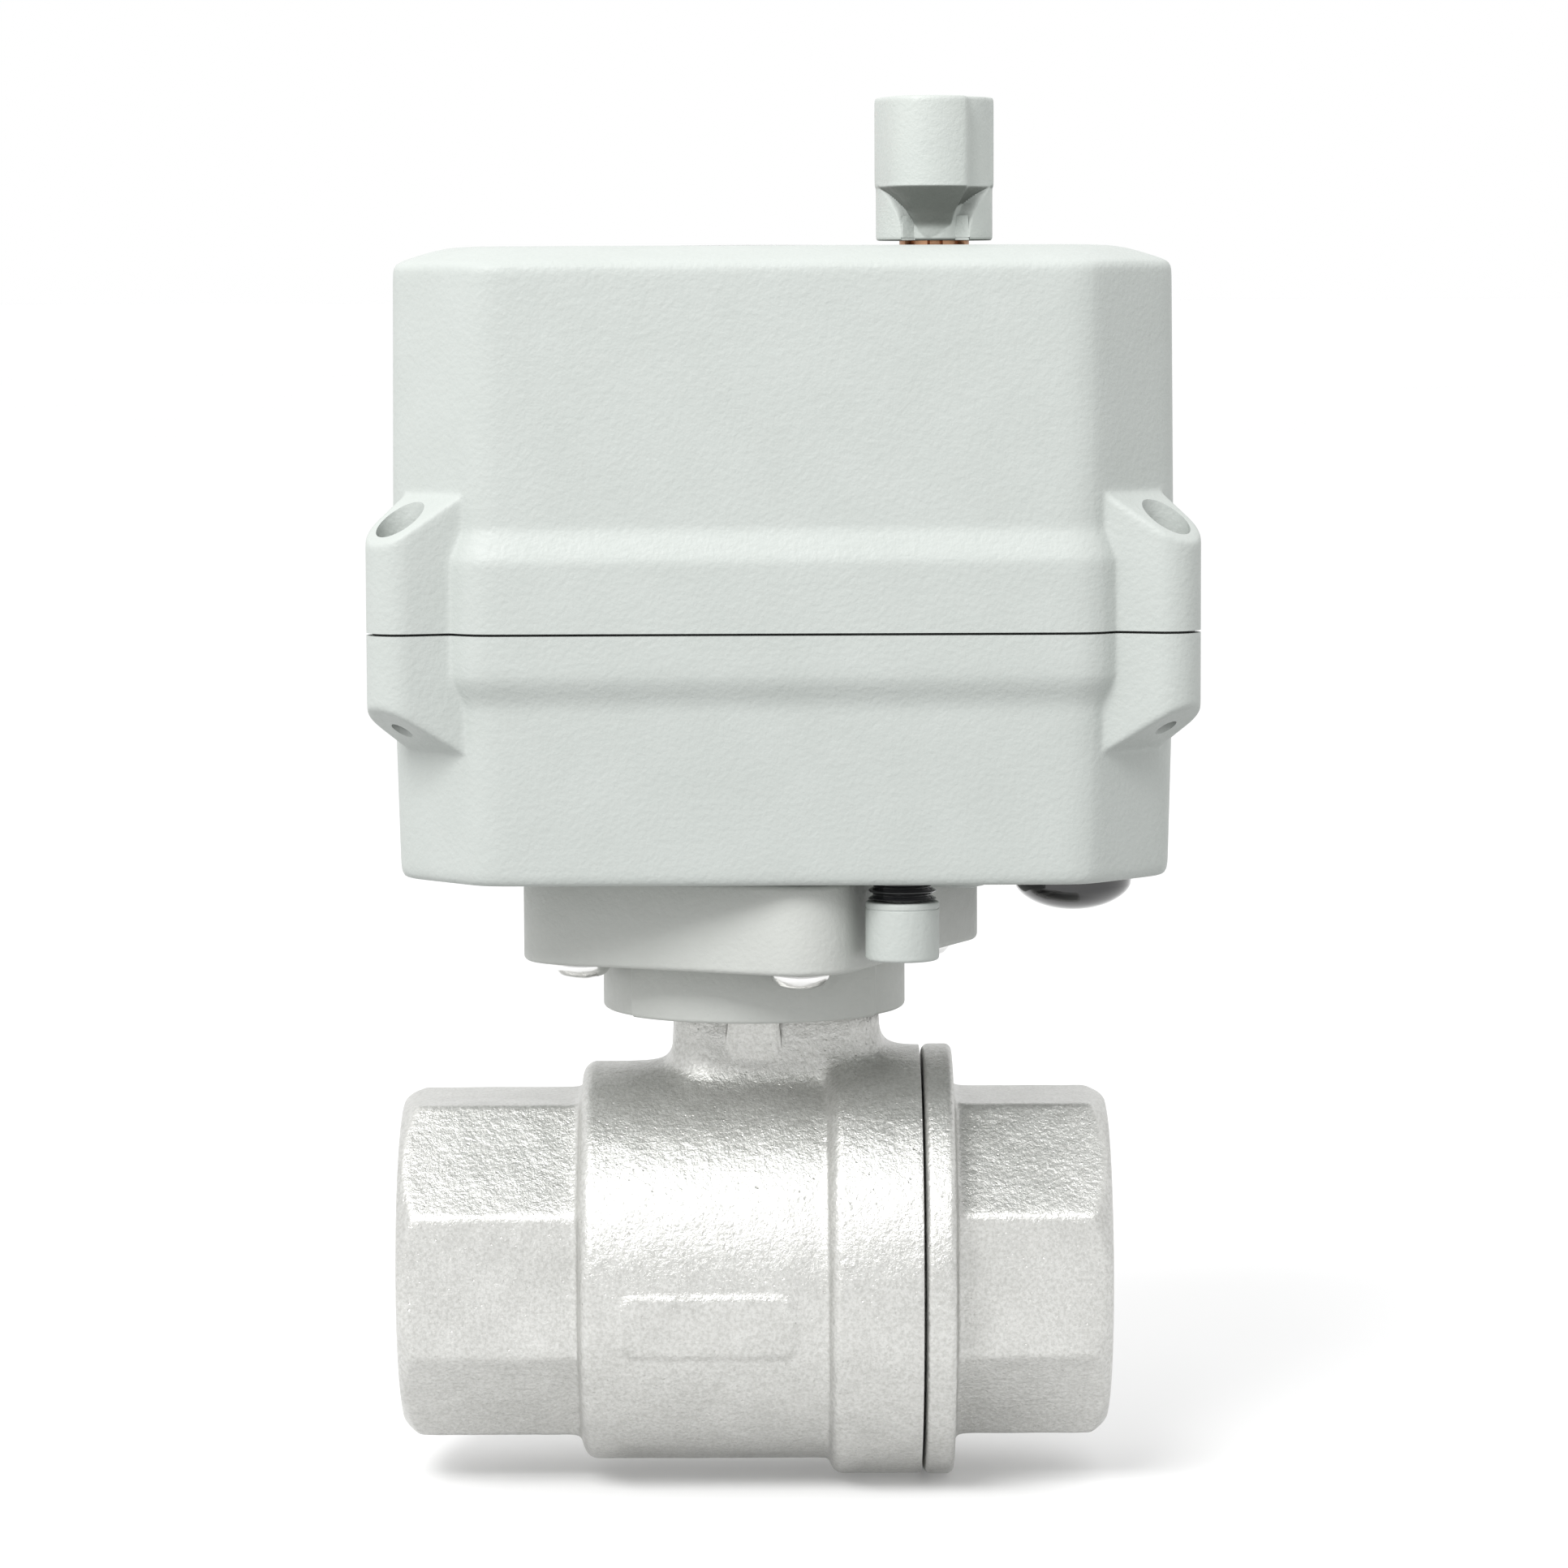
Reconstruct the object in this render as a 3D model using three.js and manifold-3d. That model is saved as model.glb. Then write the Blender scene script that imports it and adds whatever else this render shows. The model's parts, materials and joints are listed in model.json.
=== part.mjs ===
// Motorized ball valve: a two-piece threaded stainless ball valve with a quarter-turn electric
// actuator on top. Millimetres. The origin is where the pipe axis meets the stem axis.
// +X runs along the pipe towards the end cap, +Z up the stem, and -Y is the front.
import * as THREE from "three";
import { mergeVertices } from "three/addons/utils/BufferGeometryUtils.js";
import Module from "manifold-3d";

const wasm = await Module();
wasm.setup();

// ---- driving dimensions: valve ----
const VALVE_HALF = 43.5; // centre to the face of either threaded end
const FLATS_R = 20.5; // apothem of the octagonal ends
const END_CHAMFER_R = 18.4; // radius of the flat ring left by the end chamfer
const END_CHAMFER = 3.4; // length of that chamfer along the pipe
const BODY_LEFT = -21.2;
const BODY_R = 24.6;
const FLANGE_LEFT = 9.9;
const FLANGE_R = 26.5;
const SPLIT = 20.5; // face of the body flange
const CAP_FACE = 20.75;
const CAP_FLANGE_END = 24.8;
const PORT_R = 15.15; // G1 thread, minor radius
const PORT_MOUTH_R = 16.6;
const PORT_DEPTH = 15;
const BORE_R = 12.5;
const BALL_R = 19;
const CAVITY_R = 20;
const SEAT_BACK = 16;
const STEM_R = 5;
const STEM_SQUARE = 4.4; // half the width of the stem's square drive
const PACKING_R = 8;
const NECK_TOP = 31.6;
const NECK_X = 3.1; // the neck stands a little towards the flange
const CAST_PAD = [-16.2, 5, -8.4, -0.6]; // plain raised pad on the front: X, then Z
const CAST_PAD_R = 25;

// ---- driving dimensions: mounting ----
const RING_BOTTOM = 31.8;
const RING_TOP = 38.6;
const RING_R = 18.6;
const RING_LOBE_R = 19.3;
const RING_BORE_R = 10.6;
const RING_SCREW_R = 1.9; // clearance hole
const PAD_BOTTOM = 38.75;
const PAD_TOP = 49.6;
const PAD_TURN = THREE.MathUtils.degToRad(-24.6);
const PAD_HOLE_X = 14.6; // half the screw spacing, in the pad's own turned axes
const PAD_HOLE_Y = 18.4;
const PAD_CORNER_R = 7;
const PAD_BORE_R = 12.5;
const PAD_SCREW_R = 2.4;
const PAN_HEAD_R = 3.6;
const PAN_HEAD_BOTTOM = 36.4;

// ---- driving dimensions: actuator housing ----
const BOX_X = 3.8; // the housing sits a little towards the end cap
const HALF_X = 46.5;
const HALF_Y = 33;
const FLAT_X = 36; // half width of the front face between its corner flats
const FLAT_Y = 22;
const BAND = 1.5; // how far the rim band stands proud
const WALL = 2.6;
const BOX_BOTTOM = 49.8;
const SEAM = 79.7;
const SEAM_GAP = 0.28; // half the gap that the gasket fills
const BAND_BOTTOM = 73.7;
const BAND_TOP = 88.5;
const LID_RIM = 122;
const LID_TOP = 125.2;
const EAR_X = 45.1;
const EAR_Y = 29.5;
const EAR_R = 4.4;
const EAR_ARC = [-0.813, 1.899]; // where the ear's round tip meets its side and its front
const COVER_EAR = [96.1, 90]; // height of the sloped end at the wall and at the tip
const HOUSING_EAR = [65.4, 71.2];
const COVER_SCREW_R = 1.5;
const COVER_SCREW_END = 72;
const COVER_HEAD_R = 2.7;
const WELL_BOTTOM = 84; // seat of the cover screws' heads
const WINDOW_R = 11.6;
const WINDOW_SEAT = 123.7;
const WINDOW_TOP = 125.6;

// ---- driving dimensions: drive train ----
const DRIVE_X = 22.4; // output shaft to manual shaft
const OUTPUT_TEETH = 42;
const PINION_TEETH = 14;
const OUTPUT_MODULE = 0.8; // (42 + 14) / 2 * 0.8 = 22.4
const WHEEL_TEETH = 40;
const MOTOR_TEETH = 12;
const WHEEL_MODULE = 0.6; // (40 + 12) / 2 * 0.6 = 15.6
const MOTOR_ANGLE = Math.PI / 4; // where the motor stands round the manual shaft
const OUTPUT_R = 8;
const OUTPUT_NECK_R = 6.6;
const SPINDLE_R = 3.2;
const SPLINE_R = 4.35;
const MOTOR_R = 11;
const LOWER_PLATE = [60, 61.5];
const UPPER_PLATE = [77, 78.5];
const BUTTON_X = 17.8;
const BUTTON_Y = -26;
const BUTTON_R = 4.4;
const BUTTON_STEM_R = 2;
const PLUG_X = 39.6;
const PLUG_Y = 4;
const PLUG_SHANK_R = 5.7;
const KNOB_BOTTOM = 125.8;
const KNOB_TURN = THREE.MathUtils.degToRad(-8);
const RUN = 0.08; // running clearance of shafts in their bushes
const FINE = 32; // sides of large round pieces
const MID = 24; // and of shafts
const COARSE = 12; // and of screws

const motorX = DRIVE_X + ((WHEEL_TEETH + MOTOR_TEETH) / 2) * WHEEL_MODULE * Math.cos(MOTOR_ANGLE);
const motorY = ((WHEEL_TEETH + MOTOR_TEETH) / 2) * WHEEL_MODULE * Math.sin(MOTOR_ANGLE);

// ---- solids: closed geometry to manifold and back ----
function solid(geometry) {
  const bare = geometry.clone();
  bare.deleteAttribute("normal");
  bare.deleteAttribute("uv");
  const merged = mergeVertices(bare, 1e-4);
  const index = merged.index.array;
  const triangles = [];
  for (let i = 0; i < index.length; i += 3) {
    const [a, b, c] = [index[i], index[i + 1], index[i + 2]];
    if (a !== b && b !== c && c !== a) triangles.push(a, b, c);
  }
  const build = (triVerts) =>
    new wasm.Manifold(
      new wasm.Mesh({
        numProp: 3,
        vertProperties: new Float32Array(merged.attributes.position.array),
        triVerts: new Uint32Array(triVerts),
      }),
    );
  const made = build(triangles);
  return made.volume() > 0 ? made : build(triangles.reverse());
}

function join(...geometries) {
  return geometries.map(solid).reduce((a, b) => a.add(b));
}

function cut(base, ...tools) {
  return tools.map(solid).reduce((a, b) => a.subtract(b), base);
}

function geometryOf(manifold) {
  const mesh = manifold.getMesh();
  const count = mesh.vertProperties.length / mesh.numProp;
  const positions = new Float32Array(count * 3);
  for (let i = 0; i < count; i++) {
    positions.set(mesh.vertProperties.subarray(i * mesh.numProp, i * mesh.numProp + 3), i * 3);
  }
  return new THREE.BufferGeometry()
    .setAttribute("position", new THREE.BufferAttribute(positions, 3))
    .setIndex(new THREE.BufferAttribute(new Uint32Array(mesh.triVerts), 1));
}

// ---- basic shapes ----
function box(x0, x1, y0, y1, z0, z1) {
  return new THREE.BoxGeometry(x1 - x0, y1 - y0, z1 - z0).translate(
    (x0 + x1) / 2,
    (y0 + y1) / 2,
    (z0 + z1) / 2,
  );
}

function rod(radius, z0, z1, x = 0, y = 0, segments = COARSE) {
  return new THREE.CylinderGeometry(radius, radius, z1 - z0, segments)
    .rotateX(Math.PI / 2)
    .translate(x, y, (z0 + z1) / 2);
}

// A profile of [radius, height] points turned about Z, then moved to x, y.
function turned(profile, segments = FINE, x = 0, y = 0) {
  const points = profile.map(([r, z]) => new THREE.Vector2(r, z));
  return new THREE.LatheGeometry(points, segments).rotateX(Math.PI / 2).translate(x, y, 0);
}

// A profile of [x, radius] points turned about the pipe axis.
function turnedX(profile, segments = FINE) {
  const points = profile.map(([x, r]) => new THREE.Vector2(r, x));
  return new THREE.LatheGeometry(points, segments).rotateZ(-Math.PI / 2);
}

function tube(inner, outer, z0, z1, x = 0, y = 0, segments = 20) {
  const profile = [[inner, z0], [outer, z0], [outer, z1], [inner, z1], [inner, z0]];
  return turned(profile, segments, x, y);
}

function prism(outline, z0, z1) {
  const shape = new THREE.Shape(outline.map(([x, y]) => new THREE.Vector2(x, y)));
  const geometry = new THREE.ExtrudeGeometry(shape, { depth: z1 - z0, bevelEnabled: false });
  return geometry.translate(0, 0, z0);
}

function polygon(sides, apothem, phase = 0) {
  const radius = apothem / Math.cos(Math.PI / sides);
  return Array.from({ length: sides }, (_, i) => {
    const angle = phase + ((2 * i + 1) * Math.PI) / sides;
    return [radius * Math.cos(angle), radius * Math.sin(angle)];
  });
}

function roundedRect(halfX, halfY, radius, steps = 5) {
  const centres = [[1, 1], [-1, 1], [-1, -1], [1, -1]];
  return centres.flatMap(([sx, sy], corner) =>
    Array.from({ length: steps + 1 }, (_, i) => {
      const angle = ((corner + i / steps) * Math.PI) / 2;
      return [
        sx * (halfX - radius) + radius * Math.cos(angle),
        sy * (halfY - radius) + radius * Math.sin(angle),
      ];
    }),
  );
}

const shifted = (outline, x, y) => outline.map(([px, py]) => [px + x, py + y]);

// A closed skin through equal-sized rings of [x, y, z] points, lowest ring first.
function loft(rings) {
  const n = rings[0].length;
  const index = [];
  for (let r = 0; r + 1 < rings.length; r++) {
    for (let i = 0; i < n; i++) {
      const j = (i + 1) % n;
      index.push(r * n + i, r * n + j, (r + 1) * n + j);
      index.push(r * n + i, (r + 1) * n + j, (r + 1) * n + i);
    }
  }
  const last = (rings.length - 1) * n;
  for (let i = 1; i + 1 < n; i++) {
    index.push(0, i + 1, i);
    index.push(last, last + i, last + i + 1);
  }
  return new THREE.BufferGeometry()
    .setAttribute("position", new THREE.Float32BufferAttribute(rings.flat(2), 3))
    .setIndex(index);
}

// Spur gear outline with straight-flanked, slightly thinned teeth; one tooth points at phase.
function gearOutline(teeth, module, phase) {
  const pitchR = (teeth * module) / 2;
  const rows = [
    [pitchR - 1.15 * module, 0.98 * module],
    [pitchR + 0.8 * module, 0.34 * module],
  ];
  return Array.from({ length: teeth }, (_, t) => {
    const middle = phase + (2 * Math.PI * t) / teeth;
    const side = (sign) =>
      rows.map(([r, half]) => {
        const angle = middle + (sign * half) / r;
        return [r * Math.cos(angle), r * Math.sin(angle)];
      });
    return [...side(-1), ...side(1).reverse()];
  }).flat();
}

// ---- assembly ----
const root = new THREE.Group();

function finish(color, roughness, metalness) {
  return { color, roughness, metalness };
}

const GREY_PAINT = finish(0xc9cfc9, 0.5, 0);
const PAD_GREY = finish(0xb4bab5, 0.5, 0);
const CAST_STEEL = finish(0xd2d2cd, 0.38, 0.9);
const BRIGHT_STEEL = finish(0xdcdcdc, 0.22, 1);
const ZINC = finish(0xb9bcc0, 0.4, 0.9);
const BRASS = finish(0xb58b5a, 0.35, 0.9);
const PTFE = finish(0xf2f0ea, 0.5, 0);
const BLACK_RUBBER = finish(0x151515, 0.5, 0);
const BLACK_GLOSS = finish(0x0b0b0b, 0.12, 0);
const SWITCH_BLACK = finish(0x1c1c20, 0.45, 0);
const WHITE_GEAR = finish(0xe8e6dc, 0.45, 0);
const BOARD_GREEN = finish(0x1f6b3a, 0.4, 0);
const TERMINAL_GREEN = finish(0x2f8f57, 0.45, 0);
const INDICATOR_RED = finish(0xc1272d, 0.4, 0);
const CLEAR = finish(0xdfe8ea, 0.05, 0);

function add(name, manifold, look) {
  const mesh = new THREE.Mesh(geometryOf(manifold), new THREE.MeshStandardMaterial(look));
  mesh.name = name;
  root.add(mesh);
}

// ---- valve ----
// An octagonal wrench end whose corners are turned off at the open end. direction is -1 or +1.
function wrenchEnd(inner, direction) {
  const octagon = prism(polygon(8, FLATS_R), 0, VALVE_HALF - inner)
    .rotateY((direction * Math.PI) / 2)
    .translate(direction * inner, 0, 0);
  const chamfer = turnedX([
    [direction * (inner - 1), 0],
    [direction * (inner - 1), BODY_R],
    [direction * (VALVE_HALF - END_CHAMFER), FLATS_R / Math.cos(Math.PI / 8) + 0.1],
    [direction * VALVE_HALF, END_CHAMFER_R],
    [direction * VALVE_HALF, 0],
  ]);
  return solid(octagon).intersect(solid(chamfer));
}

function threadedPort(direction) {
  return turnedX(
    [
      [direction * (VALVE_HALF + 1), 0],
      [direction * (VALVE_HALF + 1), PORT_MOUTH_R + 0.2],
      [direction * (VALVE_HALF - 1.4), PORT_R],
      [direction * (VALVE_HALF - PORT_DEPTH), PORT_R],
      [direction * (VALVE_HALF - PORT_DEPTH - 1.6), BORE_R],
      [direction * 8, BORE_R],
      [direction * 8, 0],
    ],
    FINE,
  );
}

function valveBody() {
  const shell = turnedX([
    [BODY_LEFT, 0],
    [BODY_LEFT, BODY_R - 2],
    [BODY_LEFT + 0.6, BODY_R - 0.6],
    [BODY_LEFT + 2, BODY_R],
    [FLANGE_LEFT - 1.2, BODY_R],
    [FLANGE_LEFT + 0.8, FLANGE_R],
    [SPLIT - 0.6, FLANGE_R],
    [SPLIT, FLANGE_R - 0.6],
    [SPLIT, 0],
  ]);
  const section = (halfX, halfY, z) =>
    shifted(roundedRect(halfX, halfY, 6, 3), NECK_X, 0).map(([x, y]) => [x, y, z]);
  const neck = loft([
    section(16, 14, 12),
    section(14.2, 11, 25.6),
    section(13.1, 8.6, 28.6),
    section(13.1, 8.2, NECK_TOP),
  ]);
  const lug = box(-3.2, 3.3, -13.4, -6, 26.3, NECK_TOP);
  const [padLeft, padRight, padLow, padHigh] = CAST_PAD;
  const round = rod(CAST_PAD_R, padLeft, padRight, 0, 0, 2 * FINE).rotateY(Math.PI / 2);
  const castPad = solid(round).intersect(solid(box(padLeft, padRight, -CAST_PAD_R, -20, padLow, padHigh)));
  const cavity = turnedX([
    [-SEAT_BACK, 0],
    [-SEAT_BACK, 16.8],
    [-9, 16.8],
    [-8, CAVITY_R],
    [17.9, CAVITY_R],
    [17.9, 22.2],
    [SPLIT + 1, 22.2],
    [SPLIT + 1, 0],
  ]);
  return cut(
    join(shell, neck, lug).add(castPad).add(wrenchEnd(-BODY_LEFT - 4, -1)),
    cavity,
    threadedPort(-1),
    rod(7.4, 14, 24.2, 0, 0, MID),
    rod(STEM_R + 0.3, 20, 40, 0, 0, MID),
    rod(PACKING_R + 0.2, 27.2, 40, 0, 0, MID),
  );
}

function endCap() {
  const flange = turnedX([
    [SEAT_BACK + 0.3, 0],
    [SEAT_BACK + 0.3, CAVITY_R - 0.2],
    [CAP_FACE, CAVITY_R - 0.2],
    [CAP_FACE, FLANGE_R - 0.5],
    [CAP_FACE + 0.6, FLANGE_R + 0.1],
    [CAP_FLANGE_END - 0.9, FLANGE_R + 0.1],
    [CAP_FLANGE_END, FLANGE_R - 0.9],
    [CAP_FLANGE_END, 0],
  ]);
  return cut(solid(flange).add(wrenchEnd(CAP_FLANGE_END - 1, 1)), threadedPort(1));
}

function seat(direction) {
  return solid(
    turnedX(
      [
        [direction * (SEAT_BACK - 0.1), 12.8],
        [direction * (SEAT_BACK - 0.1), 16.6],
        [direction * 10.6, 16.6],
        [direction * 14.8, 12.8],
        [direction * (SEAT_BACK - 0.1), 12.8],
      ],
      MID,
    ),
  );
}

function ball() {
  const sphere = new THREE.SphereGeometry(BALL_R, MID, 14);
  const bore = rod(BORE_R, -30, 30, 0, 0, FINE).rotateY(Math.PI / 2);
  return cut(solid(sphere), bore, box(-3.5, 3.5, -20, 20, 14, 20));
}

function stem() {
  const turnedPart = turned(
    [[0, 19.4], [6.9, 19.4], [6.9, 22], [STEM_R, 22], [STEM_R, 39], [0, 39]],
    MID,
  );
  return join(
    turnedPart,
    box(-3.2, 3.2, -4.6, 4.6, 14.4, 19.6),
    prism(polygon(4, STEM_SQUARE), 38.5, 57),
  );
}

add("valve_body", valveBody(), CAST_STEEL);
add("end_cap", endCap(), CAST_STEEL);
const SEAL_PROFILE = [[18, 20.3], [20.6, 20.3], [20.6, 22], [18, 22], [18, 20.3]];
add("body_seal", solid(turnedX(SEAL_PROFILE, MID)), PTFE);
add("seat_left", seat(-1), PTFE);
add("seat_right", seat(1), PTFE);
add("ball", ball(), BRIGHT_STEEL);
add("stem", stem(), BRIGHT_STEEL);
add("thrust_washer", solid(tube(STEM_R + RUN, 7.2, 22.2, 24)), PTFE);
add("packing_ring", solid(tube(STEM_R + RUN, PACKING_R, 27.4, 31)), PTFE);
const glandHexagon = prism(polygon(6, 8.5), 31.9, 37.6);
add("gland_nut", cut(solid(glandHexagon), rod(STEM_R + RUN, 30, 40, 0, 0, MID)), BRIGHT_STEEL);

// ---- mounting ring, pad and their screws ----
// Countersunk screws hold the ring under the pad, on a diagonal that clears the valve neck.
const RING_SCREWS = [[-9.5, -12.2], [9.5, 12.2]];
const PAD_SCREWS = [[-1, -1], [1, -1], [1, 1], [-1, 1]].map(([sx, sy]) => {
  const x = sx * PAD_HOLE_X;
  const y = sy * PAD_HOLE_Y;
  return [
    x * Math.cos(PAD_TURN) - y * Math.sin(PAD_TURN),
    x * Math.sin(PAD_TURN) + y * Math.cos(PAD_TURN),
  ];
});

// A sector of a disc, centred on the given direction.
function sector(radius, middle, half) {
  const arc = Array.from({ length: 13 }, (_, i) => {
    const angle = middle - half + (2 * half * i) / 12;
    return [radius * Math.cos(angle), radius * Math.sin(angle)];
  });
  return [[0, 0], ...arc];
}

function adapterRing() {
  const lobe = THREE.MathUtils.degToRad(43);
  const disc = join(
    rod(RING_R, RING_BOTTOM, RING_TOP, 0, 0, FINE),
    prism(sector(RING_LOBE_R, -Math.PI / 2, lobe), RING_BOTTOM, RING_TOP),
    prism(sector(RING_LOBE_R, Math.PI / 2, lobe), RING_BOTTOM, RING_TOP),
  );
  const screwHoles = RING_SCREWS.map(([x, y]) =>
    turned(
      [[0, 31], [3.1, 31], [3.1, 33], [RING_SCREW_R, 34.2], [RING_SCREW_R, 40], [0, 40]],
      COARSE,
      x,
      y,
    ),
  );
  return cut(disc, rod(RING_BORE_R, 30, 40, 0, 0, MID), ...screwHoles);
}

function basePad() {
  const outline = roundedRect(PAD_HOLE_X + PAD_CORNER_R, PAD_HOLE_Y + PAD_CORNER_R, PAD_CORNER_R, 6);
  const block = prism(outline, PAD_BOTTOM, PAD_TOP).rotateZ(PAD_TURN);
  const screwHoles = PAD_SCREWS.map(([x, y]) => rod(PAD_SCREW_R + 0.4, 30, 60, x, y));
  const ringHoles = RING_SCREWS.map(([x, y]) => rod(RING_SCREW_R, 30, 47, x, y, COARSE));
  return cut(solid(block), rod(PAD_BORE_R, 30, 60, 0, 0, MID), ...screwHoles, ...ringHoles);
}

// A pan-head screw, head down, with a cross recess.
function panScrew(x, y) {
  const low = PAN_HEAD_BOTTOM;
  const shape = turned(
    [
      [0, low], [2.4, low + 0.2], [PAN_HEAD_R - 0.1, low + 1], [PAN_HEAD_R, low + 2.1],
      [PAD_SCREW_R, low + 2.1], [PAD_SCREW_R, 57], [0, 57],
    ],
    COARSE,
    x,
    y,
  );
  const slotAcross = box(x - 2, x + 2, y - 0.45, y + 0.45, low - 0.4, low + 1);
  const slotAlong = box(x - 0.45, x + 0.45, y - 2, y + 2, low - 0.4, low + 1);
  return cut(solid(shape), slotAcross, slotAlong);
}

function countersunkScrew(x, y) {
  const shape = turned([[0, 32], [2.7, 32], [2.7, 32.8], [1.6, 34], [1.6, 46], [0, 46]], COARSE, x, y);
  return cut(solid(shape), rod(1.2, 31, 33.2, x, y, 6));
}

add("adapter_ring", adapterRing(), PAD_GREY);
RING_SCREWS.forEach(([x, y], i) => add(`ring_screw_${i + 1}`, countersunkScrew(x, y), ZINC));
add("base_pad", basePad(), PAD_GREY);
PAD_SCREWS.forEach(([x, y], i) => add(`pad_screw_${i + 1}`, panScrew(x, y), BRIGHT_STEEL));

// ---- housing ----
// The housing's plan: a rectangle with flat corners, grown by `out` beyond the plain walls.
function plan(out) {
  const x = HALF_X + out;
  const y = HALF_Y + out;
  const fx = FLAT_X + out * 0.45;
  const fy = FLAT_Y + out * 0.45;
  const outline = [[fx, -y], [x, -fy], [x, fy], [fx, y], [-fx, y], [-x, fy], [-x, -fy], [-fx, -y]];
  return shifted(outline, BOX_X, 0);
}

const planRing = (out, z) => plan(out).map(([x, y]) => [x, y, z]);
const EARS = [[-1, -1], [1, -1], [1, 1], [-1, 1]]; // which side of the housing, in X and in Y
const earCentre = ([sx, sy]) => [BOX_X + sx * EAR_X, sy * EAR_Y];

// One screw ear: a lug across the housing's corner flat, whose end face slopes away from the wall.
function ear([sx, sy], zBase, [zWall, zTip]) {
  const arc = Array.from({ length: 9 }, (_, i) => {
    const angle = EAR_ARC[0] + ((EAR_ARC[1] - EAR_ARC[0]) * i) / 8;
    return [EAR_X + EAR_R * Math.cos(angle), EAR_Y + EAR_R * Math.sin(angle)];
  });
  const outline = [[38, 28], [43.6, 22.1], ...arc, [37, 31.4]];
  const spread = ([x, y]) => (0.727 * (x - FLAT_X) + 0.687 * (y - HALF_Y)) / 8.7;
  const slope = (p) => zWall + (zTip - zWall) * spread(p);
  const place = ([x, y], z) => [BOX_X + sx * x, sy * y, z];
  return loft([outline.map((p) => place(p, zBase)), outline.map((p) => place(p, slope(p)))]);
}

const PLATE_BOSSES = [[-17, 17], [-17, -17], [27, 17], [27, -17]];

function lowerHousing() {
  const outer = loft([
    planRing(-2.4, BOX_BOTTOM),
    planRing(-0.9, BOX_BOTTOM + 1.8),
    planRing(-0.5, BAND_BOTTOM - 1.6),
    planRing(BAND, BAND_BOTTOM),
    planRing(BAND, SEAM - SEAM_GAP),
  ]);
  const inner = loft([planRing(-WALL - 1, BOX_BOTTOM + WALL), planRing(-WALL - 0.6, SEAM + 1)]);
  const ears = EARS.map((corner) => ear(corner, SEAM - SEAM_GAP, HOUSING_EAR));
  const plateBosses = PLATE_BOSSES.map(([x, y]) => rod(3, 51, LOWER_PLATE[0] - 0.2, x, y, COARSE));
  const screwBosses = PAD_SCREWS.map(([x, y]) => rod(4.4, 51, 59, x, y));
  const bushBoss = rod(11.4, 51, 56, 0, 0, MID);
  const outsideBoss = rod(2.5, 48.3, 51, 25.7, -18);
  const hollow = cut(join(outer, ...ears), inner);
  return cut(
    hollow.add(join(...plateBosses, ...screwBosses, bushBoss, outsideBoss)),
    rod(9.9, 45, 60, 0, 0, MID),
    rod(PLUG_SHANK_R + 0.3, 45, 60, PLUG_X, PLUG_Y, MID),
    rod(BUTTON_STEM_R + 0.2, 45, 60, BUTTON_X, BUTTON_Y),
    ...PAD_SCREWS.map(([x, y]) => rod(PAD_SCREW_R + 0.2, 45, 62, x, y)),
    ...EARS.map(earCentre).map(([x, y]) => rod(COVER_SCREW_R + 0.2, 60, 90, x, y)),
  );
}

function upperCover() {
  const outer = loft([
    planRing(BAND, SEAM + SEAM_GAP),
    planRing(BAND - 0.05, BAND_TOP),
    planRing(-0.05, BAND_TOP + 3.6),
    planRing(-0.3, LID_RIM),
    planRing(-1.3, LID_RIM + 1.5),
    planRing(-6.2, LID_TOP),
  ]);
  const inner = loft([
    planRing(-WALL - 0.3, SEAM - 1),
    planRing(-WALL - 0.5, LID_RIM - WALL + 0.8),
    planRing(-WALL - 4.6, LID_TOP - WALL - 0.2),
  ]);
  const ears = EARS.map((corner) => ear(corner, SEAM + SEAM_GAP, COVER_EAR));
  return cut(
    join(outer, ...ears),
    inner,
    rod(WINDOW_R - 1, 110, 130, 0, 0, MID),
    rod(WINDOW_R + 0.15, WINDOW_SEAT, 130, 0, 0, FINE),
    rod(SPLINE_R + 0.35, 110, 130, DRIVE_X, 0, MID),
    ...EARS.map(earCentre).map(([x, y]) => rod(COVER_SCREW_R + 0.2, 70, 90, x, y)),
    ...EARS.map(earCentre).map(([x, y]) => rod(COVER_HEAD_R + 0.2, WELL_BOTTOM, 100, x, y)),
  );
}

function coverGasket() {
  const z0 = SEAM - SEAM_GAP + 0.03;
  const z1 = SEAM + SEAM_GAP - 0.03;
  return cut(
    solid(loft([planRing(BAND - 0.7, z0), planRing(BAND - 0.7, z1)])),
    loft([planRing(-WALL + 0.4, z0 - 1), planRing(-WALL + 0.4, z1 + 1)]),
  );
}

function coverScrew([x, y]) {
  const seat = WELL_BOTTOM + 0.1;
  const top = seat + 2.7;
  const shape = turned(
    [
      [0, COVER_SCREW_END], [COVER_SCREW_R, COVER_SCREW_END], [COVER_SCREW_R, seat],
      [COVER_HEAD_R, seat], [COVER_HEAD_R, top], [0, top],
    ],
    COARSE,
    x,
    y,
  );
  return cut(solid(shape), rod(1.3, top - 1.4, top + 1, x, y, 6));
}

add("lower_housing", lowerHousing(), GREY_PAINT);
add("upper_cover", upperCover(), GREY_PAINT);
add("cover_gasket", coverGasket(), BLACK_RUBBER);
EARS.map(earCentre).forEach((centre, i) => add(`cover_screw_${i + 1}`, coverScrew(centre), BRIGHT_STEEL));

// ---- gearbox plates ----
const PILLARS = [[-16, 15], [-16, -15], [28, -17]];

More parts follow.
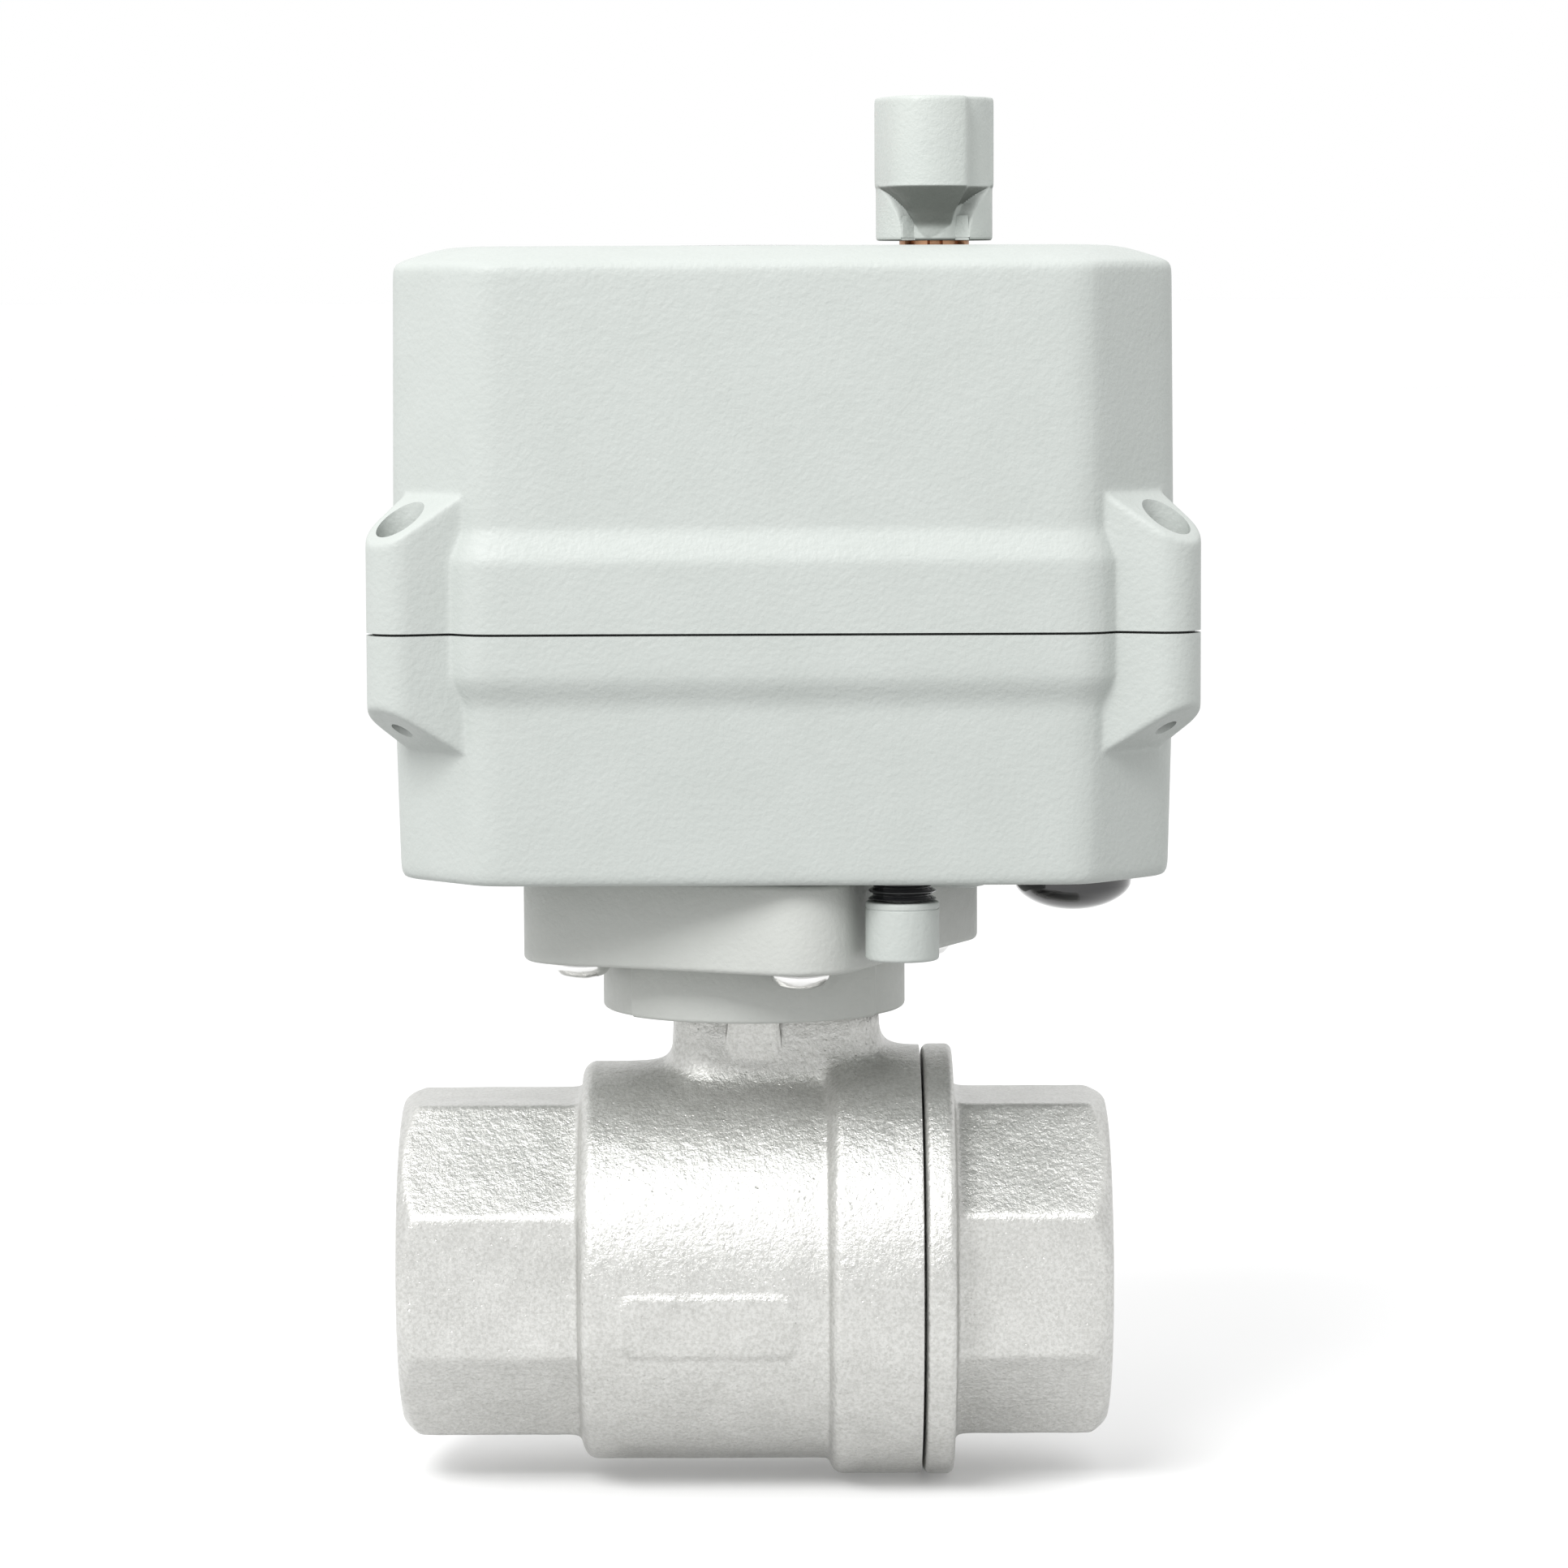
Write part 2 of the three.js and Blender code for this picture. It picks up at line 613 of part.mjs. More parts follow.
function lowerPlate() {
  const [z0, z1] = LOWER_PLATE;
  return cut(
    join(box(-21, 30.5, -20.5, 20.5, z0, z1), box(12.5, 23.1, -29, -20, z0, z1)),
    rod(OUTPUT_R + 0.3, z0 - 5, z1 + 5, 0, 0, MID),
    rod(2.6, z0 - 5, z1 + 5, DRIVE_X, 0),
    rod(BUTTON_STEM_R + 0.2, z0 - 5, z1 + 5, BUTTON_X, BUTTON_Y),
  );
}

function upperPlate() {
  const [z0, z1] = UPPER_PLATE;
  return cut(
    solid(box(-27, 45.5, -20.5, 20.5, z0, z1)),
    rod(7.2, z0 - 5, z1 + 5, 0, 0, MID),
    rod(3.4, z0 - 5, z1 + 5, DRIVE_X, 0),
    rod(4.6, z0 - 5, z1 + 5, motorX, motorY),
  );
}

add("gear_plate_lower", lowerPlate(), ZINC);
add("gear_plate_upper", upperPlate(), ZINC);
PILLARS.forEach(([x, y], i) => {
  const pillar = rod(2.5, LOWER_PLATE[1] + 0.1, UPPER_PLATE[0] - 0.1, x, y, COARSE);
  add(`plate_pillar_${i + 1}`, solid(pillar), ZINC);
});

// ---- output shaft and what turns with it ----
function outputShaft() {
  const shape = turned(
    [
      [0, 44], [OUTPUT_R, 44], [OUTPUT_R, 63.2], [OUTPUT_NECK_R, 63.2], [OUTPUT_NECK_R, 76],
      [STEM_R, 76], [STEM_R, 119.6], [0, 119.6],
    ],
    MID,
  );
  return cut(solid(shape), prism(polygon(4, STEM_SQUARE + 0.4), 40, 58));
}

function outputGear() {
  const teeth = prism(gearOutline(OUTPUT_TEETH, OUTPUT_MODULE, 0), 63.5, 69);
  return cut(solid(teeth), rod(OUTPUT_NECK_R + 0.1, 60, 72, 0, 0, MID));
}

// A switch cam: a disc with one raised lobe, centred on the given direction.
function cam(z0, middle) {
  const lobe = prism(sector(10.5, middle, Math.PI / 7), z0, z0 + 4);
  return cut(join(rod(9, z0, z0 + 4, 0, 0, MID), lobe), rod(STEM_R + RUN, 80, 110, 0, 0, MID));
}

function pointer() {
  const disc = rod(9.8, 119.8, 121, 0, 0, MID);
  const bar = box(-8.6, 8.6, -1.6, 1.6, 120.5, 121.9);
  return join(disc, bar);
}

const FLANGED_BUSH = [
  [OUTPUT_R + RUN, 49.9], [9.8, 49.9], [9.8, 56.2], [11.2, 56.2],
  [11.2, 57.4], [OUTPUT_R + RUN, 57.4], [OUTPUT_R + RUN, 49.9],
];

add("output_shaft", outputShaft(), BRIGHT_STEEL);
add("output_gear", outputGear(), ZINC);
add("cam_open", cam(86, Math.PI), WHITE_GEAR);
add("cam_close", cam(94, Math.PI / 2), WHITE_GEAR);
add("indicator_pointer", pointer(), INDICATOR_RED);
add("output_bush_lower", solid(turned(FLANGED_BUSH, MID)), BRASS);
add("output_bush_upper", solid(tube(STEM_R + RUN, 7.1, 76.3, 79.2)), BRASS);

// ---- manual shaft, its gears and the knob ----
function manualShaft() {
  const spindle = turned(
    [
      [0, 58.6], [2.5, 58.6], [2.5, 62], [SPINDLE_R, 62],
      [SPINDLE_R, 112], [3.8, 112.6], [3.8, 139], [0, 139],
    ],
    COARSE,
    DRIVE_X,
  );
  const splines = Array.from({ length: 8 }, (_, i) =>
    box(0, SPLINE_R, -0.75, 0.75, 113, 138.6)
      .rotateZ((i * Math.PI) / 4 + Math.PI / 8)
      .translate(DRIVE_X, 0, 0),
  );
  return join(spindle, ...splines);
}

function gearAt(teeth, module, phase, z0, z1, boreR, x, y) {
  const blank = prism(gearOutline(teeth, module, phase), z0, z1).translate(x, y, 0);
  return cut(solid(blank), rod(boreR, z0 - 1, z1 + 1, x, y));
}

// The wing knob: a round hub with a gripping bar across it that overhangs above the lid.
function handKnob() {
  const bar = prism(roundedRect(4.9, 11, 4.6, 6), 132, 143.2).rotateZ(KNOB_TURN);
  const under = loft([
    roundedRect(4, 6.4, 3.9, 6).map(([x, y]) => [x, y, 127]),
    roundedRect(4.6, 9.6, 4.5, 6).map(([x, y]) => [x, y, 132.2]),
  ]).rotateZ(KNOB_TURN);
  const hub = turned(
    [[0, KNOB_BOTTOM], [6.9, KNOB_BOTTOM], [7, 126.2], [6.8, 142.2], [6.3, 142.7], [0, 142.7]],
    MID,
  );
  const bore = rod(SPLINE_R + 0.35, 120, 139.3, 0, 0, MID);
  return cut(join(hub, bar, under), bore).translate([DRIVE_X, 0, 0]);
}

add("manual_shaft", manualShaft(), BRASS);
add(
  "manual_pinion",
  gearAt(
    PINION_TEETH, OUTPUT_MODULE, Math.PI + Math.PI / PINION_TEETH,
    63.8, 68.7, SPINDLE_R + 0.1, DRIVE_X, 0,
  ),
  BRASS,
);
add(
  "manual_wheel",
  gearAt(WHEEL_TEETH, WHEEL_MODULE, MOTOR_ANGLE, 71, 74, SPINDLE_R + 0.1, DRIVE_X, 0),
  WHITE_GEAR,
);
add("hand_knob", handKnob(), GREY_PAINT);
add("knob_seal", solid(tube(4.6, 6.6, 119.9, 122.1, DRIVE_X)), BLACK_RUBBER);

// ---- motor ----
function motorCan() {
  const shape = turned(
    [
      [0, 78.8], [MOTOR_R - 0.6, 78.8], [MOTOR_R, 79.4],
      [MOTOR_R, 105.6], [MOTOR_R - 0.8, 106.4], [4, 106.4], [4, 108], [0, 108],
    ],
    MID,
    motorX,
    motorY,
  );
  return cut(solid(shape), rod(1.2, 78, 84, motorX, motorY, COARSE));
}

function motorPinion() {
  const phase = MOTOR_ANGLE + Math.PI + Math.PI / MOTOR_TEETH;
  const teeth = prism(gearOutline(MOTOR_TEETH, WHEEL_MODULE, phase), 70.6, 74.4);
  return join(teeth, rod(1, 74, 83.5, 0, 0, COARSE)).translate([motorX, motorY, 0]);
}

add("motor", motorCan(), ZINC);
add("motor_pinion", motorPinion(), BRASS);

// ---- position switches ----
const SWITCH_FACE = -12.2;

function microSwitch(z0) {
  const body = box(-23, SWITCH_FACE, -10, 10, z0, z0 + 6.4);
  const hole = rod(1.15, -30, 0, 0, 0, COARSE);
  hole.rotateY(Math.PI / 2).translate(14, 0, z0 + 3.2);
  const well = solid(hole).intersect(solid(box(-16.4, -10, -2, 2, z0, z0 + 6.4)));
  return solid(body).subtract(well);
}

function plunger(z0) {
  return solid(rod(1, -4, 0, 0, 0, COARSE).rotateY(Math.PI / 2).translate(-11, 0, z0 + 3.2));
}

function switchBracket() {
  return join(box(-24.8, -23.2, -9, 9, 78.7, 100), box(-24.8, -14, -9, 9, 78.7, 80));
}

[["open", 84.8], ["close", 92.8]].forEach(([which, z0]) => {
  add(`switch_${which}`, microSwitch(z0), SWITCH_BLACK);
  add(`plunger_${which}`, plunger(z0), INDICATOR_RED);
});
add("switch_bracket", switchBracket(), ZINC);

// ---- window, electronics ----
function indicatorWindow() {
  const low = WINDOW_SEAT + 0.1;
  return solid(
    turned(
      [
        [0, low], [WINDOW_R, low], [WINDOW_R, WINDOW_TOP - 0.3],
        [WINDOW_R - 0.6, WINDOW_TOP], [0, WINDOW_TOP],
      ],
      FINE,
    ),
  );
}

const BOARD_FRONT = 27.4; // the board stands upright along the back wall
const CAPACITOR_LENGTH = 11.6;
const capacitorCan = rod(5, 0, CAPACITOR_LENGTH, 0, 0, COARSE)
  .rotateX(Math.PI / 2)
  .translate(10, BOARD_FRONT - 0.2, 104);
const terminalBody = box(-25, -3, 18, BOARD_FRONT - 0.2, 103, 112);
add("indicator_window", indicatorWindow(), CLEAR);
add("circuit_board", solid(box(-28, 28, BOARD_FRONT, BOARD_FRONT + 1.6, 62, 115)), BOARD_GREEN);
add("capacitor", solid(capacitorCan), SWITCH_BLACK);
add("terminal_block", solid(terminalBody), TERMINAL_GREEN);

// ---- blanked cable entry ----
function cablePlug() {
  const dome = turned(
    [
      [0, 43.9], [3, 44.1], [5.4, 44.9], [6.9, 46.3], [7.45, 48], [7.45, 48.6],
      [PLUG_SHANK_R, 48.6], [PLUG_SHANK_R, 58.4], [0, 58.4],
    ],
    MID,
    PLUG_X,
    PLUG_Y,
  );
  return solid(dome);
}

function plugLocknut() {
  const hexagon = prism(shifted(polygon(6, 6.9), PLUG_X, PLUG_Y), 52.7, 56.5);
  return cut(solid(hexagon), rod(PLUG_SHANK_R + 0.2, 50, 60, PLUG_X, PLUG_Y, MID));
}

add("cable_plug", cablePlug(), BLACK_GLOSS);
add("plug_washer", solid(tube(PLUG_SHANK_R + 0.2, 7.3, 48.75, 49.7, PLUG_X, PLUG_Y)), BLACK_RUBBER);
add("plug_locknut", plugLocknut(), SWITCH_BLACK);

// ---- push button that lets go of the gear train ----
function releaseButton() {
  const profile = [
    [0, 40.4], [BUTTON_R - 0.4, 40.4], [BUTTON_R, 40.8],
    [BUTTON_R, 47.4], [BUTTON_R - 0.2, 47.6], [0, 47.6],
  ];
  return join(
    turned(profile, 36, BUTTON_X, BUTTON_Y),
    rod(BUTTON_STEM_R, 47, 58, BUTTON_X, BUTTON_Y),
    rod(3.1, 52.8, 54, BUTTON_X, BUTTON_Y),
  );
}

// A compression spring as one closed wire along a helix.
function returnSpring() {
  const turns = 3;
  const steps = turns * 9;
  const [z0, z1] = [54.7, 59.3];
  const points = Array.from({ length: steps + 1 }, (_, i) => {
    const t = i / steps;
    const angle = 2 * Math.PI * turns * t;
    return new THREE.Vector3(2.75 * Math.cos(angle), 2.75 * Math.sin(angle), z0 + (z1 - z0) * t);
  });
  const section = new THREE.Shape(polygon(5, 0.35).map(([x, y]) => new THREE.Vector2(x, y)));
  const wire = new THREE.ExtrudeGeometry(section, {
    steps,
    extrudePath: new THREE.CatmullRomCurve3(points),
    bevelEnabled: false,
  });
  return solid(wire.translate(BUTTON_X, BUTTON_Y, 0));
}

add("release_button", releaseButton(), GREY_PAINT);
add("release_spring", returnSpring(), BRIGHT_STEEL);
const bootTube = tube(BUTTON_STEM_R + 0.3, 4.1, 47.75, 49.65, BUTTON_X, BUTTON_Y, COARSE);
add("release_boot", solid(bootTube), BLACK_GLOSS);

export default root;
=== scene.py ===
"""Looks of the motorized ball valve: cast, painted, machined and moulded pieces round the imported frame."""

import json
import math

import bpy
import numpy as np
from mathutils import Matrix, Vector, noise

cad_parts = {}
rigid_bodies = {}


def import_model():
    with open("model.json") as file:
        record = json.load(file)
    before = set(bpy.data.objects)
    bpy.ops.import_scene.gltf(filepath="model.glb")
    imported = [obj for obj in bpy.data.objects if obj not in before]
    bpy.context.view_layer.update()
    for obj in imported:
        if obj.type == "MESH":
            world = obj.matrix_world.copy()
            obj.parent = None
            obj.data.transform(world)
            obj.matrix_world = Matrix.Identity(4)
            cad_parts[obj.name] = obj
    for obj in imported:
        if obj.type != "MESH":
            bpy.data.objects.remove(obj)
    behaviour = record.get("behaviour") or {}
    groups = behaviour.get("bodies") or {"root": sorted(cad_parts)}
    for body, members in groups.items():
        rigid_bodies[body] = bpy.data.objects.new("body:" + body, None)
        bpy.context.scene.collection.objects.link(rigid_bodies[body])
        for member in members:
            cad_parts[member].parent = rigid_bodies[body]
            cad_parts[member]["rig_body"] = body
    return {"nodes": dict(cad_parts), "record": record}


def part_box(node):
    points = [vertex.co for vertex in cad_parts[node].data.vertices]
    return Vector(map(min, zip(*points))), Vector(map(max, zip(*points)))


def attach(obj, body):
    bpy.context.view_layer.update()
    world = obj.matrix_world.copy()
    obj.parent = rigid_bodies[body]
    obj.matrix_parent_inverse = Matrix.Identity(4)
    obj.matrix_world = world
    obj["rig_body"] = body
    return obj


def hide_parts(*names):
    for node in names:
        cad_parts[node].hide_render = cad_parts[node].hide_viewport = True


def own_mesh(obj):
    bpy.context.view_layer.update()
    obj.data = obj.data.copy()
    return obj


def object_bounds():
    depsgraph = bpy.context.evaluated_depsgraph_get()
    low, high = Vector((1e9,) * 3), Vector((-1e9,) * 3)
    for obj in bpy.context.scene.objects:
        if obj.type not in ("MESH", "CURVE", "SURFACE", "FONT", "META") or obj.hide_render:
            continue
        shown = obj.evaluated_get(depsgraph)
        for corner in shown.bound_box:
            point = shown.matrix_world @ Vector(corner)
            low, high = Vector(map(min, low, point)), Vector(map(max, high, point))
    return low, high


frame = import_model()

CAD_BOX = [list(corner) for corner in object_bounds()]
MM = 0.001


# ---------------------------------------------------------------- places, from the frame
def span(node):
    """Lowest and highest corner of a CAD node, in millimetres."""
    low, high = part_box(node)
    return np.array(low) / MM, np.array(high) / MM


def middle(node):
    low, high = span(node)
    return (low + high) / 2


COVER_LOW, COVER_HIGH = span("upper_cover")
HOUSING_LOW, HOUSING_HIGH = span("lower_housing")
BODY_LOW, BODY_HIGH = span("valve_body")
CAP_LOW, CAP_HIGH = span("end_cap")
RING_LOW, RING_HIGH = span("adapter_ring")
PAD_LOW, PAD_HIGH = span("base_pad")
KNOB_LOW, KNOB_HIGH = span("hand_knob")
WINDOW_LOW, WINDOW_HIGH = span("indicator_window")
BUTTON_LOW, BUTTON_HIGH = span("release_button")
BOX_X = middle("upper_cover")[0]
BOX_CENTRE = (BOX_X, 0.0)
KNOB_X = middle("manual_shaft")[0]
BUTTON_X, BUTTON_Y = middle("release_button")[:2]
PLUG_X, PLUG_Y = middle("cable_plug")[:2]
CORNERS = range(1, 5)  # the four pad screws, cover screws and ears

# Plan of the housing walls, in millimetres from its centre.
HALF_X = 46.5
HALF_Y = 33.0
CORNER_FLAT = 48.83  # distance from the centre to the flat across each corner
CORNER_N = np.array([0.7234, 0.6905])  # that flat's direction
BAND = 1.5  # how far the band at the seam stands out from the walls
LID_TOP = COVER_HIGH[2]
EAR_X, EAR_Y = np.abs(middle("cover_screw_3")[:2] - [BOX_X, 0])
EAR_R = 4.1  # of the ear's round tip


# ---------------------------------------------------------------- camera, light, floor
ROOM_BRIGHT_SIDE = (-0.25, 0.32, 0.915)
ROOM_STRENGTH = (0.55, 1.23)  # the room's light on its dark side and on its bright side
MIDDLE_OF_PART = (0, 0, 0.06)
KEY_PLACE = (-0.42, -0.82, 0.88)
KEY_SIZE = (0.62, 0.5)
KEY_POWER = 12.0
WHITE = (1.0, 1.0, 1.0, 1)
CAMERA_PLACE = Vector((3.78, -707.0, 121.0)) * MM
CAMERA_PITCH = math.radians(5.0)
CAMERA_ROLL = math.radians(-0.22)
CAMERA_LENS = 132.1


def make_camera():
    data = bpy.data.cameras.new("camera")
    data.lens = CAMERA_LENS
    data.sensor_width = 36
    data.clip_start = 0.01
    camera = bpy.data.objects.new("camera", data)
    turn = Matrix.Rotation(math.pi / 2 - CAMERA_PITCH, 4, "X") @ Matrix.Rotation(CAMERA_ROLL, 4, "Z")
    camera.matrix_world = Matrix.Translation(CAMERA_PLACE) @ turn
    bpy.context.scene.collection.objects.link(camera)
    bpy.context.scene.camera = camera


def area_light(name, place, target, size, power):
    data = bpy.data.lights.new(name, "AREA")
    data.shape = "RECTANGLE"
    data.size, data.size_y = size
    data.energy = power
    light = bpy.data.objects.new(name, data)
    place = Vector(place)
    light.rotation_euler = (Vector(target) - place).to_track_quat("-Z", "Y").to_euler()
    light.location = place
    bpy.context.scene.collection.objects.link(light)


def make_light():
    """Soft white room, brighter from above, behind and the left, with a plain white backdrop."""
    world = bpy.data.worlds.new("studio")
    world.use_nodes = True
    nodes, links = world.node_tree.nodes, world.node_tree.links
    lighting = nodes["Background"]
    direction = nodes.new("ShaderNodeTexCoord").outputs["Generated"]
    along = nodes.new("ShaderNodeVectorMath")
    along.operation = "DOT_PRODUCT"
    along.inputs[1].default_value = ROOM_BRIGHT_SIDE
    links.new(direction, along.inputs[0])
    strength = nodes.new("ShaderNodeMapRange")
    for socket, value in zip(strength.inputs[1:5], (-1.0, 1.0, *ROOM_STRENGTH)):
        socket.default_value = value
    links.new(along.outputs["Value"], strength.inputs["Value"])
    links.new(strength.outputs["Result"], lighting.inputs["Strength"])
    lighting.inputs["Color"].default_value = WHITE
    backdrop = nodes.new("ShaderNodeBackground")
    backdrop.inputs["Color"].default_value = WHITE
    chosen = nodes.new("ShaderNodeMixShader")
    links.new(nodes.new("ShaderNodeLightPath").outputs["Is Camera Ray"], chosen.inputs[0])
    links.new(lighting.outputs[0], chosen.inputs[1])
    links.new(backdrop.outputs[0], chosen.inputs[2])
    links.new(chosen.outputs[0], nodes["World Output"].inputs["Surface"])
    bpy.context.scene.world = world
    area_light("key_light", KEY_PLACE, MIDDLE_OF_PART, KEY_SIZE, KEY_POWER)
    view = bpy.context.scene.view_settings
    view.view_transform = "Standard"
    view.look = "None"


def make_floor():
    """A wide pale sheet that the valve lies on; it ends a little in front of the valve."""
    size, near = 40.0, -0.25  # metres
    z = CAD_BOX[0][2]
    corners = [(-size, near, z), (size, near, z), (size, size, z), (-size, size, z)]
    mesh = bpy.data.meshes.new("floor")
    mesh.from_pydata(corners, [], [(0, 1, 2, 3)])
    floor = bpy.data.objects.new("floor", mesh)
    bpy.context.scene.collection.objects.link(floor)
    mesh.materials.append(floor_material())
    floor.visible_diffuse = False


# ---------------------------------------------------------------- materials
class Shader:
    """A new material with helpers that add and join nodes."""

    def __init__(self, name):
        self.material = bpy.data.materials.new(name)
        self.material.use_nodes = True
        self.nodes = self.material.node_tree.nodes
        self.links = self.material.node_tree.links
        self.bsdf = self.nodes["Principled BSDF"]
        self.place = self.nodes.new("ShaderNodeTexCoord").outputs["Object"]

    def set(self, **values):
        for name, value in values.items():
            self.bsdf.inputs[name.replace("_", " ")].default_value = value
        return self

    def noise(self, scale, detail=3, roughness=0.5, place=None):
        node = self.nodes.new("ShaderNodeTexNoise")
        node.inputs["Scale"].default_value = scale
        node.inputs["Detail"].default_value = detail
        node.inputs["Roughness"].default_value = roughness
        self.links.new(place or self.place, node.inputs["Vector"])
        return node.outputs["Fac"]

    def cells(self, scale):
        node = self.nodes.new("ShaderNodeTexVoronoi")
        node.inputs["Scale"].default_value = scale
        self.links.new(self.place, node.inputs["Vector"])
        return node.outputs["Distance"]

    def stretched(self, scale):
        node = self.nodes.new("ShaderNodeMapping")
        node.inputs["Scale"].default_value = scale
        self.links.new(self.place, node.inputs["Vector"])
        return node.outputs["Vector"]

    def ramp(self, value, stops):
        """A colour or grey ramp through (position, colour) stops."""
        node = self.nodes.new("ShaderNodeValToRGB")
        ramp = node.color_ramp
        while len(ramp.elements) < len(stops):
            ramp.elements.new(0.5)
        for element, (position, color) in zip(ramp.elements, stops):
            element.position = position
            element.color = (*color, 1) if hasattr(color, "__len__") else (color, color, color, 1)
        self.links.new(value, node.inputs["Fac"])
        return node.outputs["Color"]

    def mixed(self, a, b, factor, mode="MIX"):
        node = self.nodes.new("ShaderNodeMix")
        node.data_type = "RGBA"
        node.blend_type = mode
        for socket, value in ((node.inputs[6], a), (node.inputs[7], b), (node.inputs[0], factor)):
            if hasattr(value, "is_output"):
                self.links.new(value, socket)
            else:
                socket.default_value = value
        return node.outputs[2]

    def bump(self, height, strength, distance, below=None):
        node = self.nodes.new("ShaderNodeBump")
        node.inputs["Strength"].default_value = strength
        node.inputs["Distance"].default_value = distance
        self.links.new(height, node.inputs["Height"])
        if below is not None:
            self.links.new(below, node.inputs["Normal"])
        return node.outputs["Normal"]

    def plug(self, name, output):
        self.links.new(output, self.bsdf.inputs[name])
        return self


def painted(name, color, dark):
    """Satin paint over cast aluminium: fine orange peel and faint mottling."""
    s = Shader(name)
    mottle = s.noise(120, 4, 0.6)
    s.plug("Base Color", s.ramp(mottle, [(0.3, dark), (0.7, color)]))
    s.plug("Roughness", s.ramp(s.noise(900, 2), [(0.3, 0.48), (0.7, 0.58)]))
    peel = s.bump(s.noise(1500, 2, 0.5), 0.3, 0.0003)
    s.plug("Normal", s.bump(s.noise(4200, 2, 0.6), 0.14, 0.0001, peel))
    return s.set(Metallic=0.0).material


def knob_paint():
    """The knob's paint: coarser than the housing's, with painted shade that makes it darker where the
    surface faces down.
    """
    s = Shader("knob_grey_painted_shade")
    mottle = s.noise(140, 4, 0.6)
    base = s.ramp(mottle, [(0.3, (0.52, 0.55, 0.525)), (0.7, HOUSING_COLOR)])
    down = s.nodes.new("ShaderNodeVectorMath")
    down.operation = "DOT_PRODUCT"
    down.inputs[1].default_value = (0.0, 0.0, -1.0)
    s.links.new(s.nodes.new("ShaderNodeNewGeometry").outputs["Normal"], down.inputs[0])
    # painted shade: the colour goes dark where the surface faces down, as in the scoops under the grip
    painted_shade_under = s.ramp(down.outputs["Value"], [(0.15, 0.0), (0.6, 1.0)])
    s.plug("Base Color", s.mixed(base, (0.15, 0.16, 0.147, 1), painted_shade_under))
    s.plug("Roughness", s.ramp(s.noise(900, 2), [(0.3, 0.45), (0.7, 0.6)]))
    peel = s.bump(s.noise(1800, 3, 0.6), 0.35, 0.0003)
    s.plug("Normal", s.bump(s.noise(5200, 2, 0.6), 0.2, 0.00012, peel))
    return s.set(Metallic=0.0).material


def cast_stainless():
    """Tumbled investment casting: bright satin with small pits and shallow dents."""
    s = Shader("cast_stainless")
    tone = s.ramp(s.noise(160, 5, 0.65), [(0.3, (0.60, 0.60, 0.58)), (0.7, (0.68, 0.68, 0.66))])
    pits = s.ramp(s.cells(900), [(0.0, 0.0), (0.16, 1.0)])
    sparse = s.ramp(s.noise(220, 3, 0.6), [(0.50, 1.0), (0.62, 0.0)])
    pitted = s.mixed((1.0, 1.0, 1.0, 1), pits, sparse)
    speckle = s.ramp(s.noise(2200, 3, 0.7), [(0.36, (0.80, 0.80, 0.79)), (0.60, (1.0, 1.0, 1.0))])
    spotted = s.mixed(tone, speckle, 1.0, "MULTIPLY")
    pit_share = s.ramp(pits, [(0.0, 0.4), (1.0, 0.0)])
    s.plug("Base Color", s.mixed(spotted, (0.42, 0.41, 0.39, 1), pit_share))
    s.plug("Roughness", s.ramp(s.noise(500, 4, 0.7), [(0.3, 0.28), (0.7, 0.40)]))
    waves = s.bump(s.noise(330, 3, 0.5), 0.25, 0.0005)
    grain = s.bump(s.noise(1500, 4, 0.7), 0.55, 0.0003, waves)
    s.plug("Normal", s.bump(pitted, 0.45, 0.00018, grain))
    return s.set(Metallic=0.72).material


def machined(name, color, roughness):
    """Turned or milled metal: fine lines, close together along Z, and small changes of gloss."""
    s = Shader(name)
    lines = s.noise(1.0, 3, 0.6, s.stretched((60, 60, 4000)))
    dull = tuple(c * 0.88 for c in color)
    s.plug("Base Color", s.ramp(s.noise(200, 3), [(0.3, dull), (0.7, color)]))
    s.plug("Roughness", s.ramp(lines, [(0.3, roughness * 0.8), (0.7, roughness * 1.25)]))
    s.plug("Normal", s.bump(lines, 0.12, 0.00005))
    return s.set(Metallic=1.0).material


def moulded(name, color, roughness, grain=1400, coat=0.0):
    """Moulded plastic or rubber: a slight grain and uneven gloss."""
    s = Shader(name)
    deep = tuple(c * 0.85 for c in color)
    s.plug("Base Color", s.ramp(s.noise(300, 3), [(0.35, deep), (0.65, color)]))
    s.plug("Roughness", s.ramp(s.noise(600, 3), [(0.3, roughness * 0.85), (0.7, roughness * 1.2)]))
    s.plug("Normal", s.bump(s.noise(grain, 3), 0.08, 0.00012))
    return s.set(Metallic=0.0, Coat_Weight=coat, Coat_Roughness=0.05).material


def clear_plastic():
    s = Shader("clear_window")
    s.plug("Roughness", s.ramp(s.noise(400, 3), [(0.3, 0.02), (0.7, 0.06)]))
    s.plug("Base Color", s.ramp(s.noise(90, 2), [(0.3, (0.90, 0.93, 0.92)), (0.7, (0.97, 0.98, 0.98))]))
    return s.set(Transmission_Weight=1.0, IOR=1.5).material


def circuit_material():
    """Green solder mask with lighter lines where the tracks run below it."""
    s = Shader("board_green")
    tracks = s.nodes.new("ShaderNodeTexBrick")
    tracks.inputs["Scale"].default_value = 160
    s.links.new(s.place, tracks.inputs["Vector"])
    mask, track = (0.02, 0.17, 0.07), (0.05, 0.30, 0.12)
    s.plug("Base Color", s.ramp(tracks.outputs["Fac"], [(0.4, mask), (0.6, track)]))
    s.plug("Roughness", s.ramp(s.noise(500), [(0.3, 0.2), (0.7, 0.35)]))
    return s.material


def floor_material():
    s = Shader("floor_white")
    s.plug("Base Color", s.ramp(s.noise(3, 2), [(0.3, (0.78, 0.78, 0.78)), (0.7, (0.80, 0.80, 0.80))]))
    return s.set(Roughness=0.8, Emission_Color=WHITE, Emission_Strength=0.12).material


